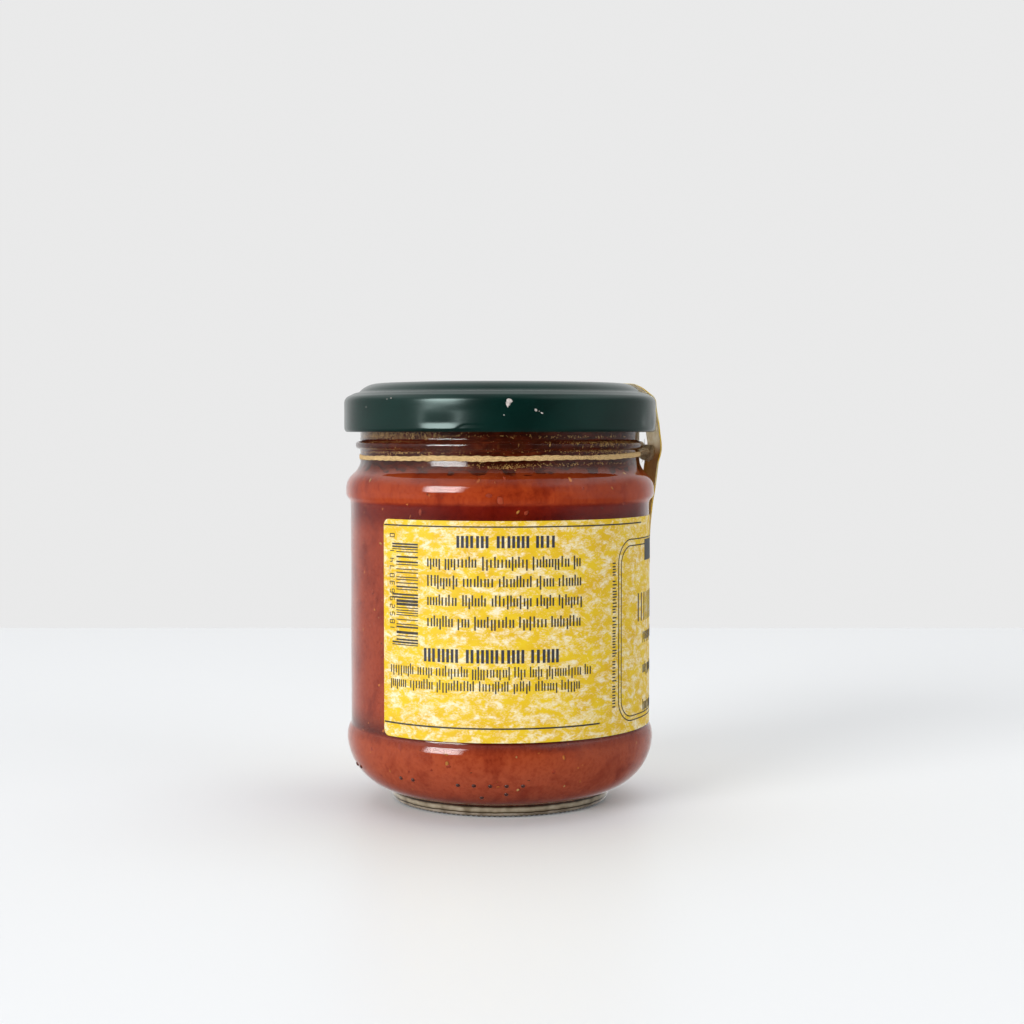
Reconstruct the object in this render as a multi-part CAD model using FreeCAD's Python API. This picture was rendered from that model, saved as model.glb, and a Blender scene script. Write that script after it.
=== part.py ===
import FreeCAD
import Part
import math
import os

# Bruschetta topping in a sealed glass jar with a twist-off lid.
# Millimetres, +Z up.  The origin is on the jar's axis, in the plane it stands on.
# Azimuths are in degrees round the axis: 0 is -Y, 90 is +X.  Every round piece is
# an outline of radius and height, turned about the axis.

# ---------------------------------------------------------------- glass jar
PANEL_RADIUS = 33.3            # recess for the label
PANEL_HEIGHT = 48.6

FOOT_SET_IN = 9.8              # from the lower belt in to the foot's side
FOOT_RING_WIDTH = 2.2          # flat bearing ring that the jar stands on
FOOT_ROUND = 1.3               # outer round of the foot
FOOT_HEIGHT = 2.3
FOOT_FLARE = 0.1               # the foot widens this much towards the heel
PUSH_UP = 2.6                  # height of the hollow under the base
PUSH_UP_EDGE = 1.5             # height of the hollow where it turns to the ring

HEEL_BELT_PROUD = 0.9          # lower belt, which guards the label
HEEL_BELT_HEIGHT = 1.45
HEEL_ROUND = 12.6
HEEL_ROUND_START = -77.0       # degrees, where the heel's round leaves the foot
HEEL_ROUND_RISE = 0.3          # from the foot's top up to that place
HEEL_STEP_HEIGHT = 1.0         # ogee between the lower belt and the recess

SHOULDER_BELT_PROUD = 1.0      # upper belt
SHOULDER_BELT_HEIGHT = 0.6
SHOULDER_STEP_HEIGHT = 2.4     # ogee between the recess and the upper belt
SHOULDER_HEIGHT = 7.0

NECK_SET_IN = 2.2              # from the recess in to the neck
NECK_HEIGHT = 2.1              # plain neck between the shoulder and the bead
BEAD_PROUD = 1.05              # transfer bead
BEAD_HEIGHT = 1.8
FINISH_HEIGHT = 9.75           # from the top of the bead to the rim
RIM_ROUND = 0.7                # both edges of the rim, with a flat land between

WALL = 2.4                     # side wall behind the label
FINISH_WALL = 2.3
BASE_THICKNESS = 2.4           # at the axis
CAVITY_STEP_LOWER = 1.0        # inside, the shoulder starts this much lower

THREAD_STARTS = 4
THREAD_SPAN = 62.0             # degrees that each ramp takes
THREAD_DEPTH = 1.3
THREAD_HALF_HEIGHT = 0.75
THREAD_TILT = 2.4              # degrees
THREAD_Z_ABOVE_BEAD = 5.45

# Mould code: round pips in a ring on the heel.  Places are counted from the front
# in equal steps, and a few places are left empty.
PIP_RADIUS = 0.55
PIP_STEP = 6.05                # degrees
PIP_BELOW_BELT = 6.5
PIP_ROW_PITCH = 2.0            # from the ring of pips down to the few under it
PIP_PLACES = (-12.5, -11.5, -6.5, -5.5, -2.5, -1.5, -0.5, 0.5, 1.5)
PIP_LOWER_PLACES = (-1.0, 0.5)

# ---------------------------------------------------------------- contents
TOPPING_BELOW_NECK = 1.95      # level of the topping under the shoulder's top
HEADSPACE = 7.0                # from the oil up to the rim

# ---------------------------------------------------------------- lid
LID_THREAD_CLEARANCE = 2.05    # from the thread out to the skirt's inner face
LID_SHEET = 0.25
LID_CURL = 0.8                 # radius of the rolled lower edge
LID_CURL_ABOVE_BEAD = 1.95     # gap from the bead up to the rolled edge
LID_CORNER = 1.7
LID_LEDGE_WIDTH = 3.4          # low ring between the skirt and the panel
LID_LEDGE_RISE = 0.75
LID_PANEL_RISE = 1.85
LID_PANEL_EDGE = 4.1           # width of the round up to the flat panel
LID_BUTTON_RADIUS = 13.0       # vacuum button, drawn down
LID_BUTTON_DROP = 0.4
LID_BUTTON_SLOPE = 2.0
GASKET_WIDTH = 3.6
GASKET_THICKNESS = 0.8

LUG_COUNT = THREAD_STARTS
LUG_FIRST_AZIMUTH = -22.0
LUG_LENGTH = 11.0
LUG_REACH = 2.4                # how far a lug stands in from the skirt
LUG_DROP = 0.35                # how far it hangs below the rolled edge
LUG_BACK_HEIGHT = 2.8
LUG_CLEARANCE = 0.3            # from a lug to the thread ramp over it
DENT_DEPTH = 0.25              # pressed hollow outside each lug
DENT_ROUND = 3.0
DENT_Z_ABOVE_EDGE = 1.3

# ---------------------------------------------------------------- paper and tie
PAPER = 0.1
LABEL_ABOVE_STEP = 0.2         # bare glass of the recess under the label
LABEL_BELOW_STEP = 2.4         # and over it
LABEL_START = -47.4            # azimuth of the edge that shows
LABEL_FRONT = 97.0             # azimuth of the middle of the label
LABEL_CORNER = 1.5

SEAL_AZIMUTH = 99.0
SEAL_WIDTH = 12.0
SEAL_PAPER = 0.12
SEAL_BUTTON_CLEARANCE = 0.0    # the paper ends where the button's slope starts
SEAL_KNOT_CLEARANCE = 0.14     # from the knot's lower turn out to the paper
SEAL_CREST_ROUND = 5.0
SEAL_FLAT_SHARE = 1 / 3        # of the way from the crest to the tab, still flat
SEAL_PANEL_SHORT = 1.3         # the paper leaves the lid's panel inside the ledge
SEAL_CORNER_DROP = 0.2
SEAL_TAB_DEPTH = 5.0           # below the label's top the paper is pasted on it
SEAL_TAB_HEIGHT = 6.0
SEAL_EDGE_ROUND = 1.0

TIE_WIDTH = 0.85               # flat plant-fibre strand round the neck
TIE_THICKNESS = 0.3
TIE_ABOVE_SHOULDER = 0.45      # middle of the strand above the shoulder's top
KNOT_THROAT = 1.45             # radius of the strand gathered against the neck
KNOT_STAND_OFF = 0.65          # from the throat out to the middle of the face turn
KNOT_TURN = 1.25               # radius of a turn of the knot
KNOT_STRAND = 0.8              # radius of the bunched strand in the knot
KNOT_LEAN = 0.3                # how much the turns are askew
KNOT_RISE = 0.7                # the knot sits a little above the strand

# ---------------------------------------------------------------- worked out
HEEL_RADIUS = PANEL_RADIUS + HEEL_BELT_PROUD
SHOULDER_RADIUS = PANEL_RADIUS + SHOULDER_BELT_PROUD
NECK_RADIUS = PANEL_RADIUS - NECK_SET_IN
BEAD_RADIUS = NECK_RADIUS + BEAD_PROUD
FOOT_SIDE_RADIUS = HEEL_RADIUS - FOOT_SET_IN - FOOT_FLARE
FOOT_OUTER_RADIUS = FOOT_SIDE_RADIUS - FOOT_ROUND
FOOT_INNER_RADIUS = FOOT_OUTER_RADIUS - FOOT_RING_WIDTH
HEEL_CENTRE_RADIUS = HEEL_RADIUS - HEEL_ROUND
HEEL_ROUND_DROP = -HEEL_ROUND * math.sin(math.radians(HEEL_ROUND_START))
HEEL_BELT_Z = FOOT_HEIGHT + HEEL_ROUND_RISE + HEEL_ROUND_DROP
PIP_Z = HEEL_BELT_Z - PIP_BELOW_BELT
PIP_LOWER_Z = PIP_Z - PIP_ROW_PITCH
PANEL_Z = HEEL_BELT_Z + HEEL_BELT_HEIGHT + HEEL_STEP_HEIGHT
PANEL_TOP_Z = PANEL_Z + PANEL_HEIGHT
SHOULDER_Z = PANEL_TOP_Z + SHOULDER_STEP_HEIGHT
SHOULDER_TOP_Z = SHOULDER_Z + SHOULDER_BELT_HEIGHT
NECK_Z = SHOULDER_TOP_Z + SHOULDER_HEIGHT
BEAD_Z = NECK_Z + NECK_HEIGHT
BEAD_TOP_Z = BEAD_Z + BEAD_HEIGHT
RIM_Z = BEAD_TOP_Z + FINISH_HEIGHT
CAVITY_RADIUS = PANEL_RADIUS - WALL
MOUTH_RADIUS = NECK_RADIUS - FINISH_WALL
CAVITY_FLOOR_Z = PUSH_UP + BASE_THICKNESS
TOPPING_TOP_Z = NECK_Z - TOPPING_BELOW_NECK
OIL_TOP_Z = RIM_Z - HEADSPACE
THREAD_Z = BEAD_TOP_Z + THREAD_Z_ABOVE_BEAD
LABEL_Z = PANEL_Z + LABEL_ABOVE_STEP
LABEL_HEIGHT = PANEL_TOP_Z - LABEL_BELOW_STEP - LABEL_Z

LID_RADIUS = NECK_RADIUS + THREAD_DEPTH + LID_THREAD_CLEARANCE + LID_SHEET
LID_LEDGE_RADIUS = LID_RADIUS - LID_LEDGE_WIDTH
LID_PANEL_RADIUS = LID_LEDGE_RADIUS - LID_PANEL_EDGE

LID_EDGE_Z = BEAD_TOP_Z + LID_CURL_ABOVE_BEAD
LID_LEDGE_Z = RIM_Z + GASKET_THICKNESS + LID_SHEET
LID_CORNER_Z = LID_LEDGE_Z - LID_LEDGE_RISE
LID_TOP_Z = LID_LEDGE_Z + LID_PANEL_RISE

TIE_Z = NECK_Z + TIE_ABOVE_SHOULDER
KNOT_Z = TIE_Z + KNOT_RISE
KNOT_FACE_RADIUS = NECK_RADIUS + 2 * KNOT_THROAT + KNOT_STAND_OFF
SEAL_INNER_END = LID_BUTTON_RADIUS + LID_BUTTON_SLOPE + SEAL_BUTTON_CLEARANCE
SEAL_TAB_TOP = LABEL_Z + LABEL_HEIGHT - SEAL_TAB_DEPTH

AXIS = FreeCAD.Vector(0, 0, 1)
ORIGIN = FreeCAD.Vector(0, 0, 0)


# ---------------------------------------------------------------- drawing helpers
def at(radius, height):
    """A point of a section: radius along +X, height along +Z."""
    return FreeCAD.Vector(radius, 0, height)


def outward(azimuth):
    """The level unit vector that points away from the axis at an azimuth."""
    angle = math.radians(azimuth)
    return FreeCAD.Vector(math.sin(angle), -math.cos(angle), 0)


class Outline:
    """An open chain of lines and arcs in the section plane."""

    def __init__(self, radius, height):
        self.here = at(radius, height)
        self.edges = []

    def line(self, radius, height):
        there = at(radius, height)
        self.edges.append(Part.LineSegment(self.here, there).toShape())
        self.here = there
        return self

    def arc_through(self, middle, end):
        self.edges.append(Part.Arc(self.here, middle, end).toShape())
        self.here = end
        return self

    def arc_about(self, centre, size, start, stop):
        """A round about a centre, between two angles measured up from +X."""
        half = math.radians((start + stop) / 2)
        last = math.radians(stop)
        middle = centre + at(size * math.cos(half), size * math.sin(half))
        end = centre + at(size * math.cos(last), size * math.sin(last))
        return self.arc_through(middle, end)

    def ogee(self, radius, height):
        """Two equal arcs that leave and arrive upright, with no kink between."""
        start = self.here
        end = at(radius, height)
        across = (end.x - start.x) / 2
        along = (end.z - start.z) / 2
        size = (across ** 2 + along ** 2) / (2 * across)
        turn = math.atan2(across, along)
        bulge = at(size - size * math.cos(turn), size * math.sin(turn))
        self.arc_through(start + bulge, (start + end) * 0.5)
        return self.arc_through(end - bulge, end)

    def solid(self):
        """The outline closed by a straight line and turned about the axis."""
        closing = Part.LineSegment(self.here, self.edges[0].Vertexes[0].Point)
        wire = Part.Wire(self.edges + [closing.toShape()])
        return Part.Face(wire).revolve(ORIGIN, AXIS, 360)


def ring(inner, outer, low, high):
    """A plain ring between two radii and two heights."""
    tube = Part.makeCylinder(outer, high - low, at(0, low))
    return tube.cut(Part.makeCylinder(inner, high - low, at(0, low)))


def slab(low, high):
    """A round slab that is wider than the jar, to cut level layers with."""
    return Part.makeCylinder(LID_RADIUS + HEEL_RADIUS, high - low, at(0, low))


def turned(shape, azimuth):
    """A copy of a shape drawn along +X, moved round the axis to an azimuth."""
    copy = shape.copy()
    copy.rotate(ORIGIN, AXIS, azimuth - 90)
    return copy


def single(shape, name):
    """The one solid of a shape, with its splits between like faces taken out."""
    clean = shape.removeSplitter()
    if len(clean.Solids) != 1:
        raise ValueError(name + " is in " + str(len(clean.Solids)) + " solids")
    if not clean.isValid():
        raise ValueError(name + " is not valid")
    return clean.Solids[0]


# ---------------------------------------------------------------- glass jar
def jar_outside():
    """The whole jar as if solid: foot, heel, belts, shoulder, neck and finish."""
    outline = Outline(0, PUSH_UP)
    outline.arc_through(
        at(FOOT_INNER_RADIUS * 0.5, (PUSH_UP * 3 + PUSH_UP_EDGE) / 4),
        at(FOOT_INNER_RADIUS - PUSH_UP_EDGE, PUSH_UP_EDGE),
    )
    outline.arc_about(
        at(FOOT_INNER_RADIUS - PUSH_UP_EDGE, 0), PUSH_UP_EDGE, 90, 0
    )
    outline.line(FOOT_OUTER_RADIUS, 0)
    outline.arc_about(at(FOOT_OUTER_RADIUS, FOOT_ROUND), FOOT_ROUND, -90, 0)
    outline.line(FOOT_SIDE_RADIUS + FOOT_FLARE, FOOT_HEIGHT)
    heel_centre = at(HEEL_CENTRE_RADIUS, HEEL_BELT_Z)
    start = math.radians(HEEL_ROUND_START)
    outline.line(
        heel_centre.x + HEEL_ROUND * math.cos(start),
        heel_centre.z + HEEL_ROUND * math.sin(start),
    )
    outline.arc_about(heel_centre, HEEL_ROUND, HEEL_ROUND_START, 0)
    outline.line(HEEL_RADIUS, HEEL_BELT_Z + HEEL_BELT_HEIGHT)
    outline.ogee(PANEL_RADIUS, PANEL_Z)
    outline.line(PANEL_RADIUS, PANEL_TOP_Z)
    outline.ogee(SHOULDER_RADIUS, SHOULDER_Z)
    outline.line(SHOULDER_RADIUS, SHOULDER_TOP_Z)
    outline.ogee(NECK_RADIUS, NECK_Z)
    outline.line(NECK_RADIUS, BEAD_Z)
    outline.arc_through(
        at(BEAD_RADIUS, BEAD_Z + BEAD_HEIGHT / 2), at(NECK_RADIUS, BEAD_TOP_Z)
    )
    outline.line(NECK_RADIUS, RIM_Z - RIM_ROUND)
    outline.arc_about(at(NECK_RADIUS - RIM_ROUND, RIM_Z - RIM_ROUND), RIM_ROUND, 0, 90)
    outline.line(0, RIM_Z)
    return outline.solid()


def jar_cavity():
    """The space inside the glass, from the floor to the mouth."""
    round_size = CAVITY_RADIUS - HEEL_CENTRE_RADIUS
    centre = at(HEEL_CENTRE_RADIUS, CAVITY_FLOOR_Z + round_size)
    outline = Outline(0, CAVITY_FLOOR_Z)
    outline.line(HEEL_CENTRE_RADIUS, CAVITY_FLOOR_Z)
    outline.arc_about(centre, round_size, -90, 0)
    outline.line(CAVITY_RADIUS, SHOULDER_TOP_Z - CAVITY_STEP_LOWER)
    outline.ogee(MOUTH_RADIUS, NECK_Z)
    outline.line(MOUTH_RADIUS, RIM_Z - RIM_ROUND)
    outline.arc_about(
        at(MOUTH_RADIUS + RIM_ROUND, RIM_Z - RIM_ROUND), RIM_ROUND, 180, 90
    )
    outline.line(0, RIM_Z)
    return outline.solid()


def thread_ramps():
    """Lug threads: short sloping ribs on the finish, one for each start."""
    crest = NECK_RADIUS + THREAD_DEPTH
    root = NECK_RADIUS - THREAD_DEPTH
    base = 2 * THREAD_HALF_HEIGHT
    section = Outline(root, THREAD_Z - base)
    section.line(crest - THREAD_HALF_HEIGHT / 2, THREAD_Z - THREAD_HALF_HEIGHT)
    section.arc_through(
        at(crest, THREAD_Z), at(crest - THREAD_HALF_HEIGHT / 2, THREAD_Z + THREAD_HALF_HEIGHT)
    )
    section.line(root, THREAD_Z + base)
    section.line(root, THREAD_Z - base)
    face = Part.Face(Part.Wire(section.edges))
    rib = face.revolve(ORIGIN, AXIS, THREAD_SPAN)
    rib.rotate(ORIGIN, AXIS, -THREAD_SPAN / 2)
    rib.rotate(at(0, THREAD_Z), FreeCAD.Vector(1, 0, 0), THREAD_TILT)
    ramps = []
    for index in range(THREAD_STARTS):
        ramps.append(turned(rib, LUG_FIRST_AZIMUTH + index * 360 / THREAD_STARTS))
    return ramps


def heel_surface_radius(height):
    """How far out the heel's round is at a height."""
    drop = HEEL_BELT_Z - height
    return HEEL_CENTRE_RADIUS + math.sqrt(HEEL_ROUND ** 2 - drop ** 2)


def mould_pips():
    """Half-sunk round pips at the filled places of the mould code."""
    pips = []
    for places, height in ((PIP_PLACES, PIP_Z), (PIP_LOWER_PLACES, PIP_LOWER_Z)):
        for place in places:
            middle = outward(place * PIP_STEP) * heel_surface_radius(height)
            middle.z = height
            pips.append(Part.makeSphere(PIP_RADIUS, middle))
    return pips


def glass_jar():
    body = jar_outside().multiFuse(thread_ramps() + mould_pips())
    return single(body.cut(jar_cavity()), "glass_jar")


# ---------------------------------------------------------------- contents
def layer(low, high):
    """What fills the cavity between two levels, against the glass all round."""
    return jar_cavity().common(slab(low, high))


def topping():
    return single(layer(0, TOPPING_TOP_Z), "topping")


def oil_layer():
    return single(layer(TOPPING_TOP_Z, OIL_TOP_Z), "oil_layer")


# ---------------------------------------------------------------- lid
def lid_block(inset):
    """The lid's form as a solid block, drawn in from its outside by an inset."""
    skirt = LID_RADIUS - inset
    corner = LID_CORNER - inset
    corner_centre = at(LID_RADIUS - LID_CORNER, LID_CORNER_Z - LID_CORNER)
    ledge = LID_LEDGE_Z - inset
    top = LID_TOP_Z - inset
    panel_width = LID_LEDGE_RADIUS - LID_PANEL_RADIUS
    panel_round = (panel_width ** 2 + LID_PANEL_RISE ** 2) / (2 * LID_PANEL_RISE)
    panel_centre = at(LID_PANEL_RADIUS, LID_TOP_Z - panel_round)
    meet = math.degrees(math.asin((ledge - panel_centre.z) / (panel_round - inset)))
    outline = Outline(0, LID_EDGE_Z + LID_CURL)
    outline.line(skirt, LID_EDGE_Z + LID_CURL)
    outline.line(skirt, corner_centre.z)
    outline.arc_about(corner_centre, corner, 0, 90)
    outline.line(
        panel_centre.x + (panel_round - inset) * math.cos(math.radians(meet)), ledge
    )
    outline.arc_about(panel_centre, panel_round - inset, meet, 90)
    outline.line(LID_BUTTON_RADIUS + LID_BUTTON_SLOPE, top)
    outline.line(LID_BUTTON_RADIUS, top - LID_BUTTON_DROP)
    outline.line(0, top - LID_BUTTON_DROP)
    return outline.solid()


def lug_ring():
    """Section of a lug carried all round: tongue, hanging nose and backing."""
    outside = LID_RADIUS - LID_SHEET / 2
    inside = LID_RADIUS - LUG_REACH
    nose_z = LID_EDGE_Z - LUG_DROP
    tongue_top = THREAD_Z - LUG_CLEARANCE - 2 * THREAD_HALF_HEIGHT - LUG_CLEARANCE
    section = Outline(outside, LID_EDGE_Z + LID_CURL)
    section.line(outside, LID_EDGE_Z + LUG_BACK_HEIGHT)
    section.line((outside + inside) / 2, tongue_top)
    section.line(inside, tongue_top)
    section.line(inside, nose_z + LUG_DROP)
    section.arc_through(
        at((outside + 3 * inside) / 4, nose_z), at((outside + inside) / 2, nose_z)
    )
    return section.solid()


def lid_lugs():
    """The lugs, each a lens in plan whose ends run out into the rolled edge."""
    half = LUG_LENGTH / 2
    lens = half ** 2 / (2 * LUG_REACH) + LUG_REACH / 2
    lens_centre = LID_RADIUS - LUG_REACH + lens
    low = LID_EDGE_Z - 2 * LUG_DROP
    cutter = Part.makeCylinder(lens, LUG_BACK_HEIGHT * 2, at(lens_centre, low))
    lug = lug_ring().common(cutter)
    return [turned(lug, azimuth) for azimuth in lug_azimuths()]


def lug_azimuths():
    return [LUG_FIRST_AZIMUTH + index * 360 / LUG_COUNT for index in range(LUG_COUNT)]


def lug_dents():
    """Level rollers that press the hollow outside each lug."""
    start = at(LID_RADIUS + DENT_ROUND - DENT_DEPTH, LID_EDGE_Z + DENT_Z_ABOVE_EDGE)
    start.y = -LUG_LENGTH
    along = FreeCAD.Vector(0, 1, 0)
    roller = Part.makeCylinder(DENT_ROUND, 2 * LUG_LENGTH, start, along)
    return [turned(roller, azimuth) for azimuth in lug_azimuths()]


def gasket():
    """Sealing compound in the channel under the ledge, on the glass rim."""
    middle = (MOUTH_RADIUS + NECK_RADIUS) / 2
    band = ring(middle - GASKET_WIDTH / 2, middle + GASKET_WIDTH / 2, RIM_Z, LID_TOP_Z)
    return band.common(lid_block(LID_SHEET / 2))


def lid():
    shell = lid_block(0).cut(lid_block(LID_SHEET))
    curl = Part.makeTorus(
        LID_RADIUS - LID_CURL, LID_CURL, at(0, LID_EDGE_Z + LID_CURL)
    )
    body = shell.multiFuse([curl, gasket()] + lid_lugs())
    for dent in lug_dents():
        body = body.cut(dent)
    return single(body, "lid")


# ---------------------------------------------------------------- label
def label():
    """Paper wrapped round the recess, with rounded corners and a bare gap."""
    high = LABEL_Z + LABEL_HEIGHT
    sheet = ring(PANEL_RADIUS, PANEL_RADIUS + PAPER, LABEL_Z, high)
    gap = 360 - 2 * (LABEL_FRONT - LABEL_START)
    wedge = Part.makeCylinder(
        PANEL_RADIUS * 2, LABEL_HEIGHT * 2, at(0, LABEL_Z - LABEL_HEIGHT / 2), AXIS, gap
    )
    wedge.rotate(ORIGIN, AXIS, LABEL_START - gap - 90)
    paper = sheet.cut(wedge)
    corners = []
    for edge in paper.Edges:
        ends = [vertex.Point for vertex in edge.Vertexes]
        if len(ends) == 2 and abs(edge.Length - PAPER) < PAPER / 10:
            if abs(ends[0].z - ends[1].z) < PAPER / 10:
                corners.append(edge)
    return single(paper.makeFillet(LABEL_CORNER, corners), "label")


# ---------------------------------------------------------------- seal strip
def bend_frame(corners, index):
    """At a bend: unit vectors back and ahead, the way in, and half the angle."""
    back = (corners[index - 1] - corners[index]).normalize()
    ahead = (corners[index + 1] - corners[index]).normalize()
    half = back.getAngle(ahead) / 2
    return back, ahead, (back + ahead).normalize(), half


def rounded_path(corners, rounds):
    """A taut path: straight runs, with a tangent arc at each bend."""
    path = Outline(corners[0].x, corners[0].z)
    for index in range(1, len(corners) - 1):
        back, ahead, inward, half = bend_frame(corners, index)
        size = rounds[index - 1]
        trim = size / math.tan(half)
        start = corners[index] + back * trim
        centre = corners[index] + inward * (size / math.sin(half))
        path.line(start.x, start.z)
        path.arc_through(centre - inward * size, corners[index] + ahead * trim)
    path.line(corners[-1].x, corners[-1].z)
    return path


def away_from_jar(first, last):
    """The unit vector square to a run of the paper, on its outer side."""
    along = (last - first).normalize()
    return at(-along.z, along.x)


def outer_corners(corners):
    """The corners of the paper's outer face, one sheet thickness further out."""
    outer = [corners[0] + away_from_jar(corners[0], corners[1]) * SEAL_PAPER]
    for index in range(1, len(corners) - 1):
        inward, half = bend_frame(corners, index)[2:]
        outer.append(corners[index] - inward * (SEAL_PAPER / math.sin(half)))
    outer.append(corners[-1] + away_from_jar(corners[-2], corners[-1]) * SEAL_PAPER)
    return outer


def seal_crest(tab):
    """Bend at the knot's upper turn, whose run down to the tab clears the lower one."""
    height = KNOT_Z + KNOT_TURN
    share = 2 * KNOT_TURN / (height - tab.z)
    clear = KNOT_FACE_RADIUS + KNOT_STRAND + SEAL_KNOT_CLEARANCE
    return at((clear - tab.x * share) / (1 - share), height)


def seal_corners():
    """Inner face of the seal in section, from the lid's top to the label."""
    over_panel = at(LID_LEDGE_RADIUS - SEAL_PANEL_SHORT, LID_TOP_Z)
    over_skirt = at(LID_RADIUS, LID_CORNER_Z - SEAL_CORNER_DROP)
    tab = at(PANEL_RADIUS + PAPER, SEAL_TAB_TOP)
    inner_end = at(SEAL_INNER_END, LID_TOP_Z)
    return [inner_end, over_panel, over_skirt, seal_crest(tab), tab]


def flat_ribbon(corners):
    """The part of the seal that is flat across: over the lid, then down."""
    rounds = (SEAL_EDGE_ROUND, SEAL_EDGE_ROUND, SEAL_CREST_ROUND)
    inner = rounded_path(corners, rounds)
    outer = rounded_path(outer_corners(corners), [size + SEAL_PAPER for size in rounds])
    ends = []
    for side in (0, -1):
        near = inner.edges[side].Vertexes[side].Point
        far = outer.edges[side].Vertexes[side].Point
        ends.append(Part.LineSegment(near, far).toShape())
    edges = inner.edges + [ends[1]] + outer.edges[::-1] + [ends[0]]
    section = Part.Face(Part.Wire(Part.__sortEdges__(edges)))
    section.translate(FreeCAD.Vector(0, -SEAL_WIDTH / 2, 0))
    return section.extrude(FreeCAD.Vector(0, SEAL_WIDTH, 0))


def flat_section(point, away):
    """A straight thin section of the paper, square to its run."""
    side = FreeCAD.Vector(0, SEAL_WIDTH / 2, 0)
    outer = point + away * SEAL_PAPER
    return Part.makePolygon(
        [point - side, point + side, outer + side, outer - side, point - side]
    )


def curved_section(height):
    """A level thin section of the paper, bent round the label."""
    inner = PANEL_RADIUS + PAPER
    half = SEAL_WIDTH / 2 / inner
    points = []
    for size in (inner, inner + SEAL_PAPER):
        for angle in (-half, 0, half):
            point = FreeCAD.Vector(size * math.cos(angle), size * math.sin(angle), height)
            points.append(point)
    return Part.Wire(
        [
            Part.Arc(points[0], points[1], points[2]).toShape(),
            Part.LineSegment(points[2], points[5]).toShape(),
            Part.Arc(points[5], points[4], points[3]).toShape(),
            Part.LineSegment(points[3], points[0]).toShape(),
        ]
    )


def seal_strip():
    """Paper seal: flat over the lid, bowed over the knot, pasted on the label."""
    corners = seal_corners()
    crest, tab_top = corners[-2:]
    flat_end = crest + (tab_top - crest) * SEAL_FLAT_SHARE
    ribbon = flat_ribbon(corners[:-1] + [flat_end])
    sections = [
        flat_section(flat_end, away_from_jar(crest, tab_top)),
        curved_section(SEAL_TAB_TOP),
    ]
    bend = Part.makeLoft(sections, True, True)
    tab = Part.Face(sections[1]).extrude(at(0, -SEAL_TAB_HEIGHT))
    strip = ribbon.multiFuse([bend, tab])
    return single(turned(strip, SEAL_AZIMUTH), "seal_strip")


# ---------------------------------------------------------------- neck tie
def neck_tie():
    """Flat strand round the neck, with its knot under the seal."""
    half = TIE_WIDTH / 2
    outer = NECK_RADIUS + TIE_THICKNESS
    section = Outline(NECK_RADIUS, TIE_Z - half)
    section.arc_through(at(outer, TIE_Z), at(NECK_RADIUS, TIE_Z + half))
    strand = section.solid()
    throat = Part.makeSphere(KNOT_THROAT, at(NECK_RADIUS + KNOT_THROAT, KNOT_Z))
    face_turn = Part.makeTorus(
        KNOT_TURN, KNOT_STRAND, at(KNOT_FACE_RADIUS, KNOT_Z), at(1, -KNOT_LEAN)
    )
    side = FreeCAD.Vector(KNOT_LEAN, 1, 0)
    side_turn = Part.makeTorus(
        KNOT_TURN, KNOT_STRAND, at(KNOT_FACE_RADIUS - KNOT_TURN, KNOT_Z), side
    )
    knot = throat.multiFuse([face_turn, side_turn]).cut(jar_outside())
    return single(strand.fuse(turned(knot, SEAL_AZIMUTH)), "neck_tie")


# ---------------------------------------------------------------- all pieces
def main():
    pieces = {
        "glass_jar": glass_jar(),
        "topping": topping(),
        "oil_layer": oil_layer(),
        "lid": lid(),
        "label": label(),
        "seal_strip": seal_strip(),
        "neck_tie": neck_tie(),
    }
    os.makedirs("parts", exist_ok=True)
    for name, shape in pieces.items():
        shape.exportStep("parts/" + name + ".step")
        box = shape.BoundBox
        print(
            name,
            "volume %.0f" % shape.Volume,
            "x %.2f %.2f" % (box.XMin, box.XMax),
            "y %.2f %.2f" % (box.YMin, box.YMax),
            "z %.2f %.2f" % (box.ZMin, box.ZMax),
        )


main()
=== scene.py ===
"""Looks of a glass jar of bruschetta topping with a green twist-off lid.

Sizes are in millimetres and become metres when a mesh is made.  Azimuths are in
degrees round the jar's axis: 0 faces -Y, 90 faces +X.  A point at azimuth a,
radius r and height z is (r sin a, -r cos a, z).
"""

import logging
import math
from collections.abc import Callable
from dataclasses import dataclass, field
from enum import Enum

import bpy
import numpy as np
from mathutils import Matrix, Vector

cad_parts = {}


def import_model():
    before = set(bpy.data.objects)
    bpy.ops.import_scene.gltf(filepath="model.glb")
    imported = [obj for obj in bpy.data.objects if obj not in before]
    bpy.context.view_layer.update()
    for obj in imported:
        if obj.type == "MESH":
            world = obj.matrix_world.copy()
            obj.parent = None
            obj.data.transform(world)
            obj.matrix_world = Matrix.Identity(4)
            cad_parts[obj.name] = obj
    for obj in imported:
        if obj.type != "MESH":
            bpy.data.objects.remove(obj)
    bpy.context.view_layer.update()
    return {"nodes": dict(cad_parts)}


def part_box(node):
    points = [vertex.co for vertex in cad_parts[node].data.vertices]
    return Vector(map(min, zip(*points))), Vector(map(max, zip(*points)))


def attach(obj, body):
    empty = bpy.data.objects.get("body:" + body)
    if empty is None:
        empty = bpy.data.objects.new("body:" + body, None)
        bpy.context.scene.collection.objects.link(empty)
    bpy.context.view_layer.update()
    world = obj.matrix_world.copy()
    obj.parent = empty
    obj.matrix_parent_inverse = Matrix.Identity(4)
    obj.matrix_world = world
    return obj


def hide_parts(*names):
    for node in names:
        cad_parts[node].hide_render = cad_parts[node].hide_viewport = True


Array = np.ndarray
Pair = tuple[float, float]
Triple = tuple[float, float, float]
Levels = tuple[tuple[float, str], ...]
Strand = tuple[Array, Array, Array, bool]
Grids = tuple[Array, Array]
Tree = bpy.types.NodeTree
Socket = bpy.types.NodeSocket

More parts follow.
